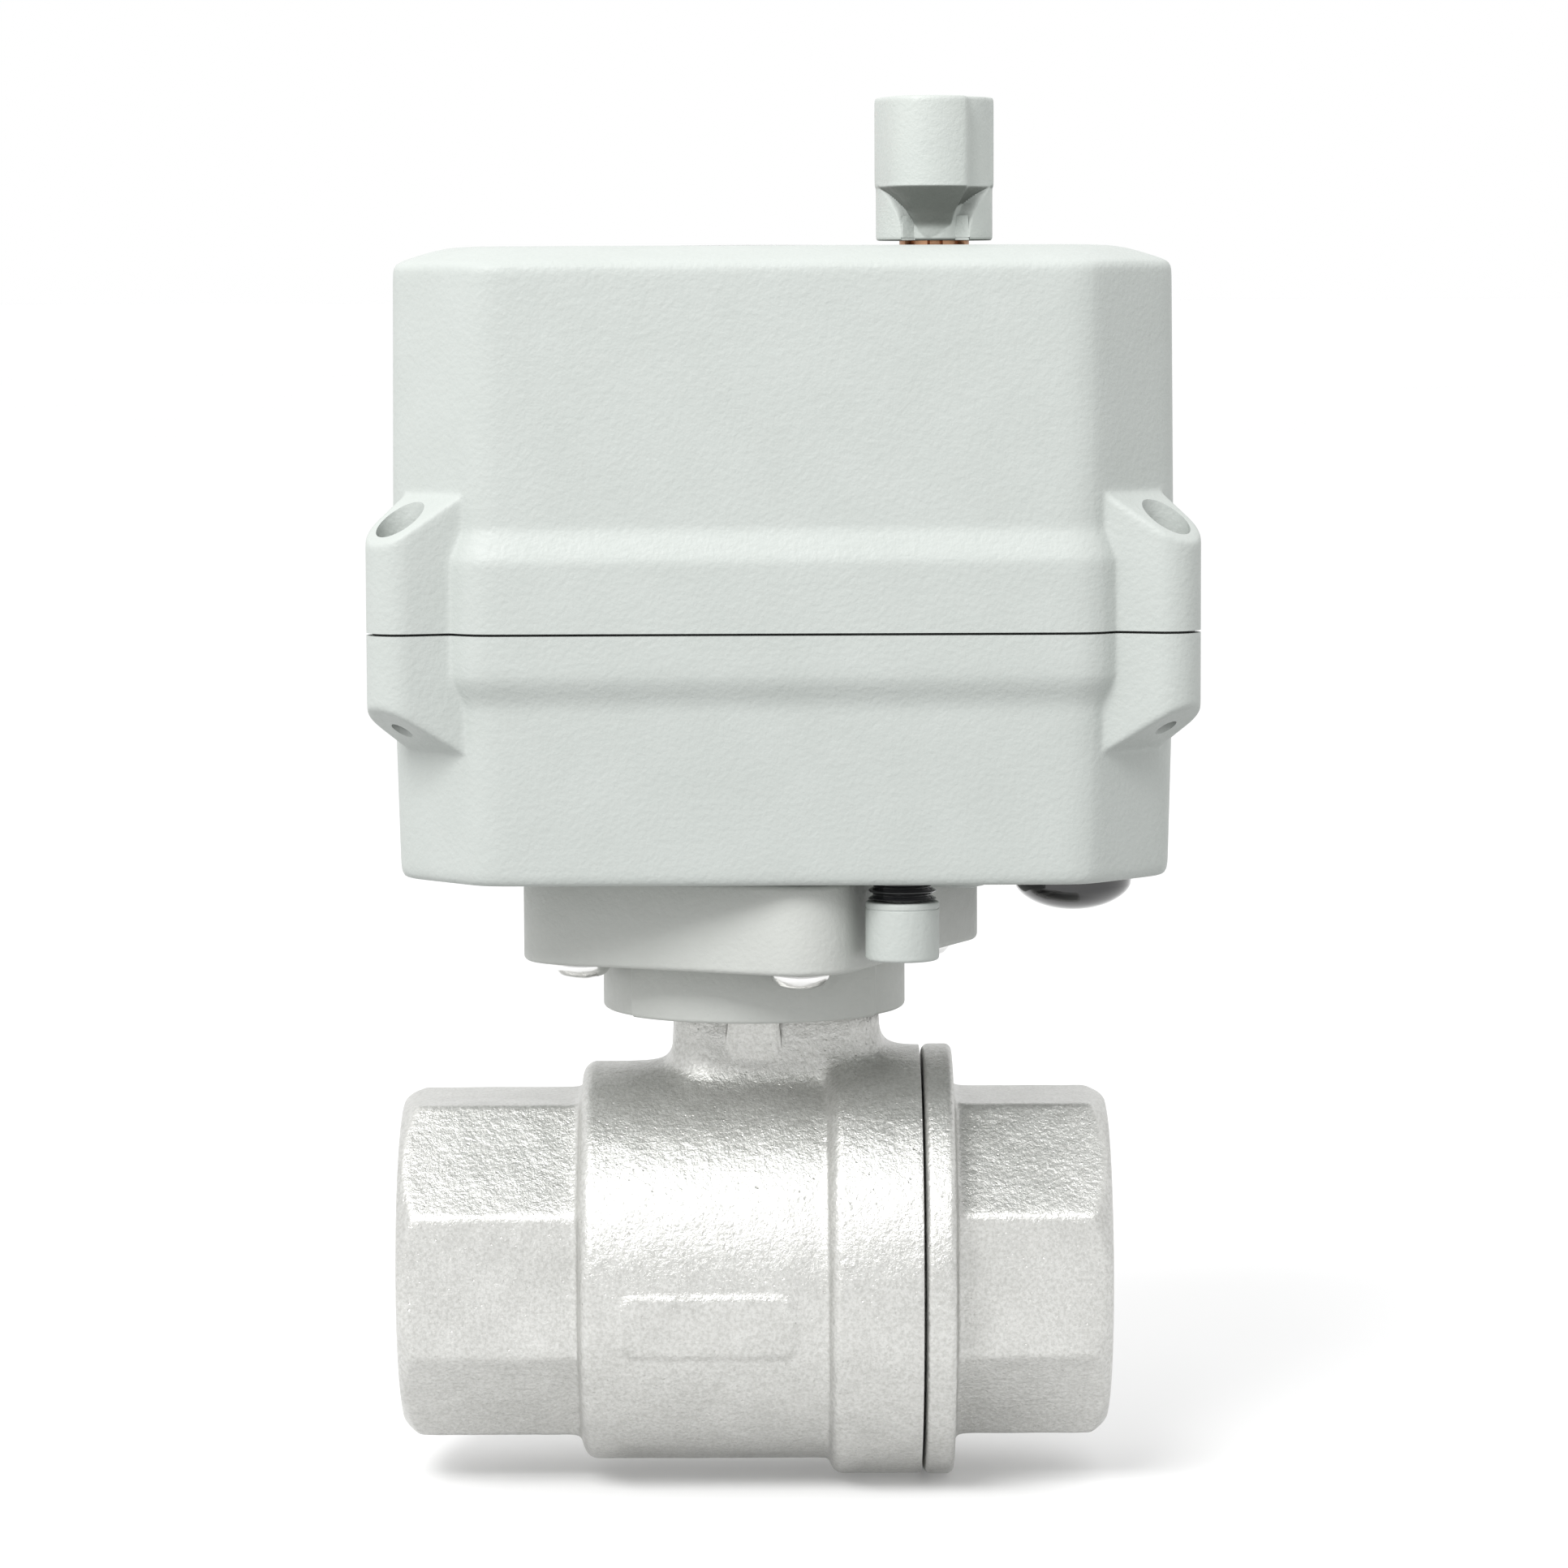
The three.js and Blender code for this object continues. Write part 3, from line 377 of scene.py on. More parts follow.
HOUSING_COLOR = (0.495, 0.525, 0.504)
# the mount's paint is lighter than the housing's: painted light that makes up for the shade under the
# housing's overhang
MOUNT_COLOR_PAINTED_LIGHT = (0.53, 0.545, 0.52)
LOOKS = {
    "cast_stainless": cast_stainless(),
    "bright_steel": machined("bright_steel", (0.80, 0.80, 0.79), 0.18),
    "zinc_steel": machined("zinc_steel", (0.62, 0.64, 0.66), 0.34),
    "ptfe": moulded("ptfe", (0.86, 0.85, 0.81), 0.45),
    "housing_grey": painted("housing_grey", HOUSING_COLOR, (0.472, 0.502, 0.48)),
    # the mount's mottle is lightened the same way: painted light
    "mount_grey": painted("mount_grey", MOUNT_COLOR_PAINTED_LIGHT, (0.50, 0.515, 0.49)),
    "knob_grey_painted_shade": knob_paint(),
    "brass": machined("brass", (0.62, 0.34, 0.20), 0.32),
    "white_plastic": moulded("white_plastic", (0.80, 0.79, 0.73), 0.45),
    "black_plastic": moulded("black_plastic", (0.025, 0.025, 0.03), 0.45),
    "gloss_black": moulded("gloss_black", (0.010, 0.010, 0.012), 0.12, 500, 0.6),
    "black_rubber": moulded("black_rubber", (0.018, 0.018, 0.018), 0.6),
    "indicator_red": moulded("indicator_red", (0.55, 0.03, 0.03), 0.35),
    "clear_window": clear_plastic(),
    "board_green": circuit_material(),
}
SLOTS = {part["node"]: part["material_slot"] for part in frame["record"]["subparts"]}
OWN_LOOKS = {"hand_knob": "knob_grey_painted_shade"}  # pieces whose look isn't named after their slot


def dress_cad_nodes():
    for name, node in frame["nodes"].items():
        node.data.materials.clear()
        node.data.materials.append(LOOKS[SLOTS[name]])


# ---------------------------------------------------------------- mesh helpers
SHARP = 35  # degrees; smoother edges than this are shaded smooth
CASTING_SHARP = 40


def shade(mesh, sharp):
    """Smooth shading, with edges over `sharp` degrees left crisp."""
    mesh.polygons.foreach_set("use_smooth", np.ones(len(mesh.polygons), bool))
    mesh.set_sharp_from_angle(angle=math.radians(sharp))


def make_object(name, points, faces, sharp=SHARP):
    """A shaded object from points in millimetres."""
    mesh = bpy.data.meshes.new(name)
    mesh.from_pydata((np.asarray(points) * MM).tolist(), [], faces)
    mesh.validate()
    mesh.update()
    shade(mesh, sharp)
    made = bpy.data.objects.new(name, mesh)
    bpy.context.scene.collection.objects.link(made)
    return made


def place_piece(piece, node):
    """The piece stands for a CAD node: same body, same material slot."""
    slot = SLOTS[node]
    piece.data.materials.clear()
    piece.data.materials.append(LOOKS[OWN_LOOKS.get(node, slot)])
    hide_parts(node)
    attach(piece, frame["nodes"][node]["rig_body"])


def skin(rings, closed):
    """Points and faces of a skin through equal rings. A closed skin joins its last ring to its first;
    an open one fills both end rings."""
    rings = np.asarray(rings)
    count, n = rings.shape[:2]
    i = np.arange(n)
    j = (i + 1) % n
    faces = []
    for r in range(count if closed else count - 1):
        s = (r + 1) % count
        quads = np.stack([r * n + i, r * n + j, s * n + j, s * n + i], axis=1)
        faces.extend(quads.tolist())
    if not closed:
        faces.append(i[::-1].tolist())
        faces.append(((count - 1) * n + i).tolist())
    return rings.reshape(-1, 3), faces


def facing_out(points, faces):
    """Turns every face round if the skin's volume comes out negative."""
    volume = 0.0
    for face in faces:
        a = points[face[0]]
        for k in range(1, len(face) - 1):
            b, c = points[face[k]], points[face[k + 1]]
            volume += (
                a[0] * (b[1] * c[2] - b[2] * c[1])
                + a[1] * (b[2] * c[0] - b[0] * c[2])
                + a[2] * (b[0] * c[1] - b[1] * c[0])
            )
    return faces if volume > 0 else [face[::-1] for face in faces]


def skin_object(name, rings, closed, sharp=SHARP):
    points, faces = skin(rings, closed)
    return make_object(name, points, facing_out(points, faces), sharp)


def rounded(profile, radius, steps=4):
    """A profile with its inner corners rounded; radius is one number or one for each corner."""
    points = [np.array(p, float) for p in profile]
    radii = [radius] * len(points) if np.isscalar(radius) else radius
    out = [points[0]]
    for before, here, after, r in zip(points, points[1:], points[2:], radii[1:]):
        a, b = before - here, after - here
        la, lb = np.linalg.norm(a), np.linalg.norm(b)
        reach = min(r, la * 0.45, lb * 0.45)
        start, end = here + a / la * reach, here + b / lb * reach
        for t in np.linspace(0, 1, steps + 1):
            out.append((1 - t) ** 2 * start + 2 * t * (1 - t) * here + t * t * end)
    out.append(points[-1])
    return np.array(out)


def circle(n):
    """Angles of n even steps round a circle."""
    return np.linspace(0, 2 * np.pi, n, endpoint=False)


def circle_and(count, fine):
    """Even angles round a circle, with the `fine` ones instead of those beside them."""
    coarse = circle(count)
    keep = np.min(np.abs(coarse[:, None] - fine), axis=1) > 0.006
    return np.sort(np.concatenate([coarse[keep], fine]))


def lathe(name, profile, centre=(0, 0), segments=72, closed=False, along_x=False):
    """A profile of (radius, height) points turned about a line along Z, or along X."""
    angle = circle(segments)
    rings = []
    for r, h in profile:
        r = max(r, 1e-3)
        ring = np.stack([r * np.cos(angle), r * np.sin(angle), np.full(segments, h)], axis=1)
        rings.append(ring[:, [2, 0, 1]] if along_x else ring + [centre[0], centre[1], 0])
    return skin_object(name, rings, closed)


def drill(radius, z0, z1, at=(0, 0), segments=64):
    """A cylinder to cut with."""
    return lathe("tool", [(0, z0), (radius, z0), (radius, z1), (0, z1)], at, segments)


def carve(piece, *tools):
    """Cuts the tools out of the piece and removes them."""
    for tool in tools:
        modifier = piece.modifiers.new("cut", "BOOLEAN")
        modifier.operation = "DIFFERENCE"
        modifier.solver = "EXACT"
        modifier.object = tool
    bpy.context.view_layer.update()
    mesh = bpy.data.meshes.new_from_object(piece.evaluated_get(bpy.context.evaluated_depsgraph_get()))
    piece.modifiers.clear()
    piece.data = mesh
    shade(mesh, SHARP)
    for tool in tools:
        bpy.data.objects.remove(tool)
    return piece


# ---------------------------------------------------------------- solid fields
def soft_max(blend, *fields):
    """Smooth maximum: the overlap of solids, its edges rounded by about `blend` millimetres."""
    top = np.maximum.reduce(fields)
    return top + blend * np.log(sum(np.exp((f - top) / blend) for f in fields))


def soft_min(blend, *fields):
    """Smooth minimum: the union of solids, its inner corners filleted."""
    return -soft_max(blend, *[-f for f in fields])


def rounded_box(qx, qy, corner):
    """Signed distance from a box with round corners; qx and qy are measured from the corner's centre."""
    return np.hypot(np.maximum(qx, 0), np.maximum(qy, 0)) + np.minimum(np.maximum(qx, qy), 0) - corner


def eased(value, knots, results, spread):
    """A line through knots whose bends are rounded over `spread`."""
    offsets = np.linspace(-spread, spread, 7)
    weights = np.cos(offsets / spread * np.pi / 2.4)
    total = sum(w * np.interp(value + d, knots, results) for w, d in zip(weights, offsets))
    return total / weights.sum()


def bisect(inside_of, low, high):
    """Where `inside_of` turns false between low and high, for whole arrays at once."""
    for _ in range(30):
        half = (low + high) / 2
        inside = inside_of(half)
        low = np.where(inside, half, low)
        high = np.where(inside, high, half)
    return (low + high) / 2


def wall_rings(field, centre, angles, levels, reach):
    """Rings round a line along Z where the field is zero."""
    c, s = np.cos(angles)[None, :], np.sin(angles)[None, :]
    z = np.asarray(levels, float)[:, None] + 0 * c
    start, end = np.full(z.shape, 0.5), np.full(z.shape, float(reach))
    r = bisect(lambda t: field(centre[0] + t * c, centre[1] + t * s, z) < 0, start, end)
    return np.stack([centre[0] + r * c, centre[1] + r * s, z], axis=2)


def lid_rings(field, ring, centre, shares, z_inside, z_outside):
    """Rings that shrink from a wall ring to the centre, each point lifted or lowered onto the surface."""
    rings = []
    for share in shares:
        x = centre[0] + (ring[:, 0] - centre[0]) * share
        y = centre[1] + (ring[:, 1] - centre[1]) * share
        start, end = np.full(x.shape, float(z_inside)), np.full(x.shape, float(z_outside))
        z = bisect(lambda t: field(x, y, t) < 0, start, end)
        rings.append(np.stack([x, y, np.round(z, 4)], axis=1))
    return rings


def pipe_rings(field, angles, levels, reach):
    """Rings round the pipe axis where the field is zero."""
    c, s = np.cos(angles)[None, :], np.sin(angles)[None, :]
    x = np.asarray(levels, float)[:, None] + 0 * c
    start, end = np.full(x.shape, 0.5), np.full(x.shape, float(reach))
    r = bisect(lambda t: field(x, t * c, t * s) < 0, start, end)
    return np.stack([x, r * c, r * s], axis=2)


def steps_through(*parts):
    """Levels from (start, end, step) stretches, without repeats."""
    values = [np.linspace(a, b, max(2, int(round(abs(b - a) / step)) + 1)) for a, b, step in parts]
    joined = np.concatenate(values)
    return joined[np.concatenate([[True], np.abs(np.diff(joined)) > 1e-4])]


# ---------------------------------------------------------------- housing
def plan_distance(x, y, blend):
    """Signed distance from the housing's plain walls, in plan."""
    ax, ay = np.abs(x - BOX_X), np.abs(y)
    flat = CORNER_N[0] * ax + CORNER_N[1] * ay - CORNER_FLAT
    return soft_max(blend, ax - HALF_X, ay - HALF_Y, flat)


def ear_plan(x, y):
    """Signed distance from the screw ears in plan: a wedge with a round tip over each corner flat."""
    qx, qy = np.abs(x - BOX_X) - EAR_X, np.abs(y) - EAR_Y
    front = -0.322 * qx + 0.9467 * qy
    side = 0.687 * qx - 0.727 * qy
    along_front = -(0.9467 * qx + 0.322 * qy)
    along_side = -(0.727 * qx + 0.687 * qy)
    apex = np.hypot(qx, qy)
    to_front = np.where(along_front > 0, np.abs(front), apex)
    to_side = np.where(along_side > 0, np.abs(side), apex)
    inside = (front < 0) & (side < 0)
    return np.where(inside, np.maximum(front, side), np.minimum(to_front, to_side)) - EAR_R


def ear_slope(x, y):
    """How far along the ear's sloped end a point lies: 0 at the wall, 1 at the tip."""
    ax, ay = np.abs(x - BOX_X), np.abs(y)
    return (0.727 * (ax - 36.0) + 0.687 * (ay - 33.0)) / 8.7


SEAM_CLOSED = 0.13  # how much nearer the visible rims come than the CAD's, each side
SEAM_BOTTOM = HOUSING_HIGH[2] + SEAM_CLOSED
SEAM_TOP = COVER_LOW[2] - SEAM_CLOSED
HOUSING_LOW_FACE = PAD_HIGH[2] + 0.2
LID_SLOPE = math.radians(18.8)  # of the cover's sloped rim
EAR_TOP, EAR_FALL = 96.1, 6.1  # height of the cover's ears at the wall, and how far they fall outwards
EAR_FOOT, EAR_RISE = 65.4, 5.8  # the same for the lower housing's ears, which rise outwards
EAR_SLOPE_COS = 0.82
WALL_BLEND, EAR_BLEND, EAR_FILLET = 0.7, 0.2, 0.16
REACH = 80  # a radius outside every part of the housing


def cover_field(x, y, z):
    """The upper cover from outside: a wider band at the seam, tapering walls, a sloped rim, four ears."""
    walls = plan_distance(x, y, WALL_BLEND)
    heights = [SEAM_TOP, SEAM_TOP + 8.5, SEAM_TOP + 12.1, LID_TOP - 3.2]
    out = eased(z, heights, [BAND, BAND - 0.05, 0.15, -0.1], 0.8)
    in_plan, in_height = plan_distance(x, y, 1.2) + 1.2, z - (LID_TOP - 1.65)
    slope = in_plan * math.sin(LID_SLOPE) + in_height * math.cos(LID_SLOPE)
    box = soft_max(0.4, walls - out, slope, z - LID_TOP)
    ear_top = z - EAR_TOP + EAR_FALL * np.maximum(ear_slope(x, y), -0.02)
    ears = soft_max(EAR_BLEND, ear_plan(x, y), ear_top * EAR_SLOPE_COS)
    return soft_min(EAR_FILLET, box, ears)


def housing_field(x, y, z):
    """The lower housing from outside: walls that widen upwards to the seam's band, and four ears."""
    walls = plan_distance(x, y, WALL_BLEND)
    bottom = HOUSING_LOW_FACE
    heights = [bottom, SEAM_BOTTOM - 8.2, SEAM_BOTTOM - 5.2, SEAM_BOTTOM]
    out = eased(z, heights, [-0.45, 0.1, BAND, BAND], 1.2)
    box = soft_max(0.5, walls - out, bottom - z)
    ear_foot = EAR_FOOT + EAR_RISE * ear_slope(x, y) - z
    ears = soft_max(EAR_BLEND, ear_plan(x, y), ear_foot * EAR_SLOPE_COS)
    return soft_min(EAR_FILLET, box, ears)


def housing_angles():
    """Angles round the housing, closer together where the ears are."""
    fine = []
    for sx in (-1, 1):
        for sy in (-1, 1):
            ear = math.atan2(sy * EAR_Y, sx * EAR_X) % (2 * math.pi)
            fine.append(np.linspace(ear - 0.15, ear + 0.15, 76))
    return circle_and(300, np.concatenate(fine))


def inner_rings(angles, outs_and_levels):
    """Inner walls without ears: one ring for each (distance outside the plan, height)."""
    rings = []
    for out, z in outs_and_levels:

        def wall(x, y, _z):
            return plan_distance(x, y, 0.5) - out

        rings.append(wall_rings(wall, BOX_CENTRE, angles, [z], REACH)[0])
    return rings


def shrunk(ring, share, z):
    """A smaller copy of a ring, flat at height z."""
    small = (ring - [*BOX_CENTRE, 0]) * [share, share, 0]
    return small + [*BOX_CENTRE, z]


def upper_cover():
    """One skin from the inner ceiling down to the seam and up to the lid, then its holes."""
    angles = housing_angles()
    levels = steps_through(
        (SEAM_TOP, SEAM_TOP + 7.5, 1.2),
        (SEAM_TOP + 7.5, 97.2, 0.28),
        (97.2, 117.0, 2.5),
        (117.0, LID_TOP - 2.6, 0.35),
    )
    outer = wall_rings(cover_field, BOX_CENTRE, angles, levels, REACH)
    shares = np.concatenate([np.linspace(0.995, 0.84, 26), [0.8, 0.7, 0.55, 0.4, 0.25]])
    top = lid_rings(cover_field, outer[-1], BOX_CENTRE, shares, LID_TOP - 8, LID_TOP + 3)
    ceiling = LID_TOP - 3
    inner = inner_rings(angles, [(-2.9, SEAM_TOP), (-3.1, LID_TOP - 5.2), (-7.2, ceiling)])
    inner += [shrunk(inner[-1], share, ceiling) for share in (0.6, 0.25)]
    piece = skin_object("upper_cover_shell", inner[::-1] + list(outer) + top, False)
    above = LID_TOP + 4
    tools = [
        drill(10.6, LID_TOP - 9, above, segments=96),  # under the window
        drill(11.85, LID_TOP - 1.5, above, segments=96),  # the window's seat
        drill(4.75, 112, above, (KNOB_X, 0)),  # for the manual shaft
    ]
    for index in CORNERS:
        at = middle(f"cover_screw_{index}")[:2]
        well = [(0, 70), (1.75, 70), (1.75, 84.05), (2.85, 84.05), (2.85, 100), (0, 100)]
        tools.append(lathe("tool", well, at, 48))
    return carve(piece, *tools)


def lower_housing():
    """One skin from the inner floor up to the seam and down to the base, then its holes."""
    angles = housing_angles()
    bottom = HOUSING_LOW_FACE
    levels = steps_through(
        (SEAM_BOTTOM, SEAM_BOTTOM - 4.6, 1.2),
        (SEAM_BOTTOM - 4.6, 64.3, 0.28),
        (64.3, bottom + 3.4, 2.5),
        (bottom + 3.4, bottom + 1.4, 0.35),
    )
    outer = wall_rings(housing_field, BOX_CENTRE, angles, levels, REACH)
    shares = np.concatenate([np.linspace(0.998, 0.93, 14), [0.85, 0.7, 0.5, 0.3]])
    base = lid_rings(housing_field, outer[-1], BOX_CENTRE, shares, bottom + 6, bottom - 3)
    floor = bottom + 2.8
    inner = inner_rings(angles, [(-3.2, SEAM_BOTTOM), (-3.6, floor)])
    inner += [shrunk(inner[-1], share, floor) for share in (0.6, 0.3)]
    piece = skin_object("lower_housing_shell", inner[::-1] + list(outer) + base, False)
    tools = [
        drill(9.9, 45, 60),  # for the stem and the output shaft
        drill(5.9, 45, 60, (PLUG_X, PLUG_Y), 48),
        drill(2.3, 45, 60, (BUTTON_X, BUTTON_Y), 32),
    ]
    for index in CORNERS:
        tools.append(drill(1.25, 60, 90, middle(f"cover_screw_{index}")[:2], 32))
    return carve(piece, *tools)


def cover_gasket():
    """A thin seal that follows the seam, screw ears included, set a little inside it."""
    angles = housing_angles()
    low, high = SEAM_BOTTOM + 0.03, SEAM_TOP - 0.03

    def outside(x, y, _z):
        return soft_min(EAR_FILLET, plan_distance(x, y, WALL_BLEND) - BAND, ear_plan(x, y)) + 0.7

    outer = [wall_rings(outside, BOX_CENTRE, angles, [z], REACH)[0] for z in (low, high)]
    inner = inner_rings(angles, [(-2.2, high), (-2.2, low)])
    return skin_object("cover_gasket_ring", outer + inner, True)


def casting_boss():
    """A small round ejector boss under the housing."""
    at = (25.7, -18.0)
    face = HOUSING_LOW_FACE
    profile = rounded([(0, face - 1.4), (2.5, face - 1.4), (2.9, face + 0.4), (0, face + 0.4)], 0.8)
    return lathe("casting_boss", profile, at, 40)


# ---------------------------------------------------------------- mounting ring and pad
def ring_prism(name, outline, bore, z0, z1, bevel):
    """A flat ring with the given outer outline (radius by angle), bored and with its outer edges rounded."""
    angles, radii = outline
    c, s = np.cos(angles), np.sin(angles)
    turn = np.linspace(0, np.pi / 2, 5)
    edge = [(bevel * (1 - np.cos(t)), bevel * (1 - np.sin(t))) for t in turn[::-1]]
    steps = [(bore, z0)]
    steps += [(radii - inset, z0 + lift) for inset, lift in edge]
    steps += [(radii - inset, z1 - lift) for inset, lift in reversed(edge)]
    steps.append((bore, z1))
    rings = [np.stack([r * c, r * s, np.full(len(c), z)], axis=1) for r, z in steps]
    return skin_object(name, rings, True)


def adapter_ring():
    """A disc with two slightly larger lobes, front and back."""
    disc, lobe_radius, bore = 18.6, 19.3, 10.6
    angles = circle(360)
    from_back = np.abs(np.angle(np.exp(1j * (angles - np.pi / 2))))
    lobe = np.abs(from_back - np.pi / 2) > math.radians(38)
    radii = np.where(lobe, lobe_radius, disc)
    soft = np.convolve(np.concatenate([radii[-1:], radii, radii[:1]]), np.ones(3) / 3, "valid")
    return ring_prism("adapter_ring_casting", (angles, soft), bore, RING_LOW[2], RING_HIGH[2], 0.5)


def pad_outline():
    """The pad in plan: a rounded rectangle, turned."""
    angles = circle(420)
    turn = math.radians(-24.6)
    half_x, half_y, corner = 21.6, 25.4, 7.0

    def outside(r):
        x = np.abs(r * np.cos(angles - turn)) - (half_x - corner)
        y = np.abs(r * np.sin(angles - turn)) - (half_y - corner)
        return rounded_box(x, y, corner) < 0

    return angles, bisect(outside, np.full(len(angles), 5.0), np.full(len(angles), 60.0))


def base_pad():
    piece = ring_prism("base_pad_casting", pad_outline(), 12.5, PAD_LOW[2], PAD_HIGH[2], 0.7)
    holes = [drill(2.8, 30, 60, middle(f"pad_screw_{index}")[:2], 32) for index in CORNERS]
    return carve(piece, *holes)


def pan_screw(index):
    """A cross-recessed pan-head screw, head down."""
    node = f"pad_screw_{index}"
    low, high = span(node)
    at = middle(node)[:2]
    z = low[2]
    head = [(0, z), (1.6, z + 0.05), (2.9, z + 0.55), (3.5, z + 1.3), (3.6, z + 1.8), (3.5, z + 2.15)]
    shank = [(2.4, z + 2.15), (2.4, high[2]), (0, high[2])]
    screw = lathe(f"pan_screw_{index}", rounded(head + shank, 0.25, 2), at, 48)
    turn = 0.6 * index  # each screw stopped at another angle
    arms = [slot_tool(at, z - 0.2, z + 1.3, turn + quarter, 1.75, 0.42) for quarter in (0, math.pi / 2)]
    return carve(screw, *arms)


def slot_tool(at, z0, z1, angle, half_length, half_width):
    """A tapered blade for cutting one arm of a cross recess."""
    c, s = math.cos(angle), math.sin(angle)
    rings = []
    for z, share in ((z0, 1.0), (z1, 0.55)):
        ring = []
        for sx, sy in ((1, 1), (-1, 1), (-1, -1), (1, -1)):
            x, y = sx * half_length * share, sy * half_width
            ring.append([at[0] + x * c - y * s, at[1] + x * s + y * c, z])
        rings.append(ring)
    return skin_object("tool", rings, False)


def painted_shade_insert(index):
    """Painted shade: a dark sleeve with thread ridges in a lower ear, just under its cover screw, so that
    the screw hole looks dark.
    """
    at = middle(f"cover_screw_{index}")[:2]
    low, high = 69.7, 72.2
    thread = [(0.98, 71.9), (0.9, 71.5), (0.98, 71.1), (0.9, 70.7), (0.98, 70.3)]
    profile = [(1.24, low), (1.24, high), (0.9, high), *thread, (0.95, low)]
    return lathe(f"painted_shade_insert_{index}", profile, at, 24, closed=True)


def cover_screw(index):
    """A hexagon-socket screw, sunk deep in its ear."""
    node = f"cover_screw_{index}"
    low, high = span(node)
    at = middle(node)[:2]
    end, top = low[2] + 0.4, high[2]
    head = top - 2.7
    profile = [(0, end), (1.15, end), (1.15, head), (2.7, head), (2.7, top), (0, top)]
    screw = lathe(f"socket_screw_{index}", rounded(profile, 0.3, 3), at, 40)
    return carve(screw, drill(1.3, top - 1.5, top + 1, at, 6))


# ---------------------------------------------------------------- knob and its shaft
# The front half of the grip in plan: (normal x, normal y, distance) of each side, axis at the origin.
GRIP_SIDES = [
    (-0.9967, -0.081, 6.2),
    (-0.808, -0.589, 10.1),
    (-0.048, -0.9988, 10.95),
    (0.685, -0.728, 9.25),
    (1.0, 0.0, 3.85),
    (0.0, 1.0, 2.0),
]
GRIP_LOW = 132.2  # height of the grip's underside
HUB_R = 7.12
KNOB_BORE = 4.7
# The scoops under the grip, by height: half-angle in degrees, and depth as a share of the grip's outline.
SCOOP_LEVELS = [125.8, 127.6, 129.6, 131.2, 132.2]
SCOOP_ANGLES = [36, 37, 44, 57, 72]
SCOOP_DEPTHS = [0.46, 0.50, 0.64, 0.84, 1.0]
SCOOP_EDGE = 0.13  # radians over which a scoop runs out into the hub
SCOOP_FLOOR_R = 5.15  # the scoops stop at this radius, clear of the bore


def half_grip(x, y):
    """One end of the grip: a smooth left flank and front, and a crisp right edge."""
    sides = [nx * x + ny * y - d for nx, ny, d in GRIP_SIDES]
    return soft_max(0.2, soft_max(1.5, *sides[:4]) - 0.6, *sides[4:])


def knob_outline(x, y, z):
    """The grip and hub in plan, the same at every height."""
    return soft_min(0.4, np.hypot(x, y) - HUB_R, half_grip(x, y), half_grip(-x, -y)) + 0 * z


def knob_field(x, y, z, directions, rim):
    """A grip over a hub, with a scoop under each end; the rim is the outline's radius by angle."""
    low, top = KNOB_LOW[2], KNOB_HIGH[2]
    reach = np.interp(np.arctan2(y, x), directions, rim, period=2 * np.pi)
    window = np.radians(eased(z, SCOOP_LEVELS, SCOOP_ANGLES, 0.5))
    inside = np.clip((window - np.arctan2(np.abs(x), np.abs(y))) / SCOOP_EDGE, 0, 1)
    inside = inside * inside * (3 - 2 * inside)
    deep = np.maximum(reach * eased(z, SCOOP_LEVELS, SCOOP_DEPTHS, 0.5), SCOOP_FLOOR_R)
    scooped = HUB_R + (deep - HUB_R) * inside
    lower = soft_max(0.15, np.hypot(x, y) - scooped, z - GRIP_LOW - 0.3, low - z)
    upper = soft_max(0.22, knob_outline(x, y, z), z - top, GRIP_LOW - z)
    return soft_min(0.12, lower, upper)


def hand_knob():
    low, top = KNOB_LOW[2], KNOB_HIGH[2]
    angles = circle(360)
    levels = steps_through(
        (low + 0.35, low + 0.9, 0.1),
        (low + 0.9, 131.4, 0.2),
        (131.4, 132.9, 0.07),
        (132.9, top - 1.2, 0.8),
        (top - 1.2, top - 0.35, 0.1),
    )
    outline = wall_rings(knob_outline, (0, 0), angles, [top], 30)[0]
    rim = np.hypot(outline[:, 0], outline[:, 1])

    def field(x, y, z):
        return knob_field(x, y, z, angles, rim)

    outer = wall_rings(field, (0, 0), angles, levels, 30)
    crown = lid_rings(field, outer[-1], (0, 0), np.linspace(0.985, 0.04, 24), top - 4, top + 1)
    foot = lid_rings(field, outer[0], (0, 0), [0.95, 0.97, 0.99], low + 3, low - 1)
    bore = [pipe_circle(angles, z, KNOB_BORE)[:, [1, 2, 0]] for z in (top - 4, low)]
    rings = bore + foot + list(outer) + crown
    shifted = [ring + [KNOB_X, 0, 0] for ring in rings]
    return skin_object("hand_knob_casting", shifted, False)


def manual_shaft():
    """The splined shaft: eight square-topped teeth above a plain spindle."""
    low, high = span("manual_shaft")
    foot, top = low[2], high[2]
    teeth, base, step, height, almost_zero = 8, 3.3, 0.1, 0.93, 0.01
    angles = circle(288)
    share = np.clip(np.cos(teeth * (angles - np.pi / teeth)) * 6 + 0.6, 0, 1)
    plain = [(almost_zero, foot), (2.5, foot), (2.5, foot + 3.4), (3.2, foot + 3.4), (3.2, 112.4)]
    steps = [(r + 0 * share, z) for r, z in plain]
    for z, lift in ((112.6, 0.0), (113.2, 1.0), (top - 0.5, 1.0), (top - 0.05, 0.6)):
        steps.append((base + lift * (step + height * share), z))
    steps.append((almost_zero + 0 * share, top))
    rings = []
    for r, z in steps:
        ring = np.stack([r * np.cos(angles) + KNOB_X, r * np.sin(angles), np.full(len(angles), z)], axis=1)
        rings.append(ring)
    return skin_object("splined_shaft", rings, False)


# ---------------------------------------------------------------- valve
VALVE_END = 43.5  # from the stem's axis to each threaded end
HALF_FLATS = 20.5
MOUTH_R = 17.0
PIPE_R = 12.5
BODY_FACE = 20.5  # where the body ends, just short of the cap
CAP_FACE = 20.66
FLANGE_R = 26.5
NECK_TOP = BODY_HIGH[2]
PITCH = 25.4 / 11
THREAD_R, THREAD_DEPTH, THREAD_ROOT = 15.15, 1.45, 28.5


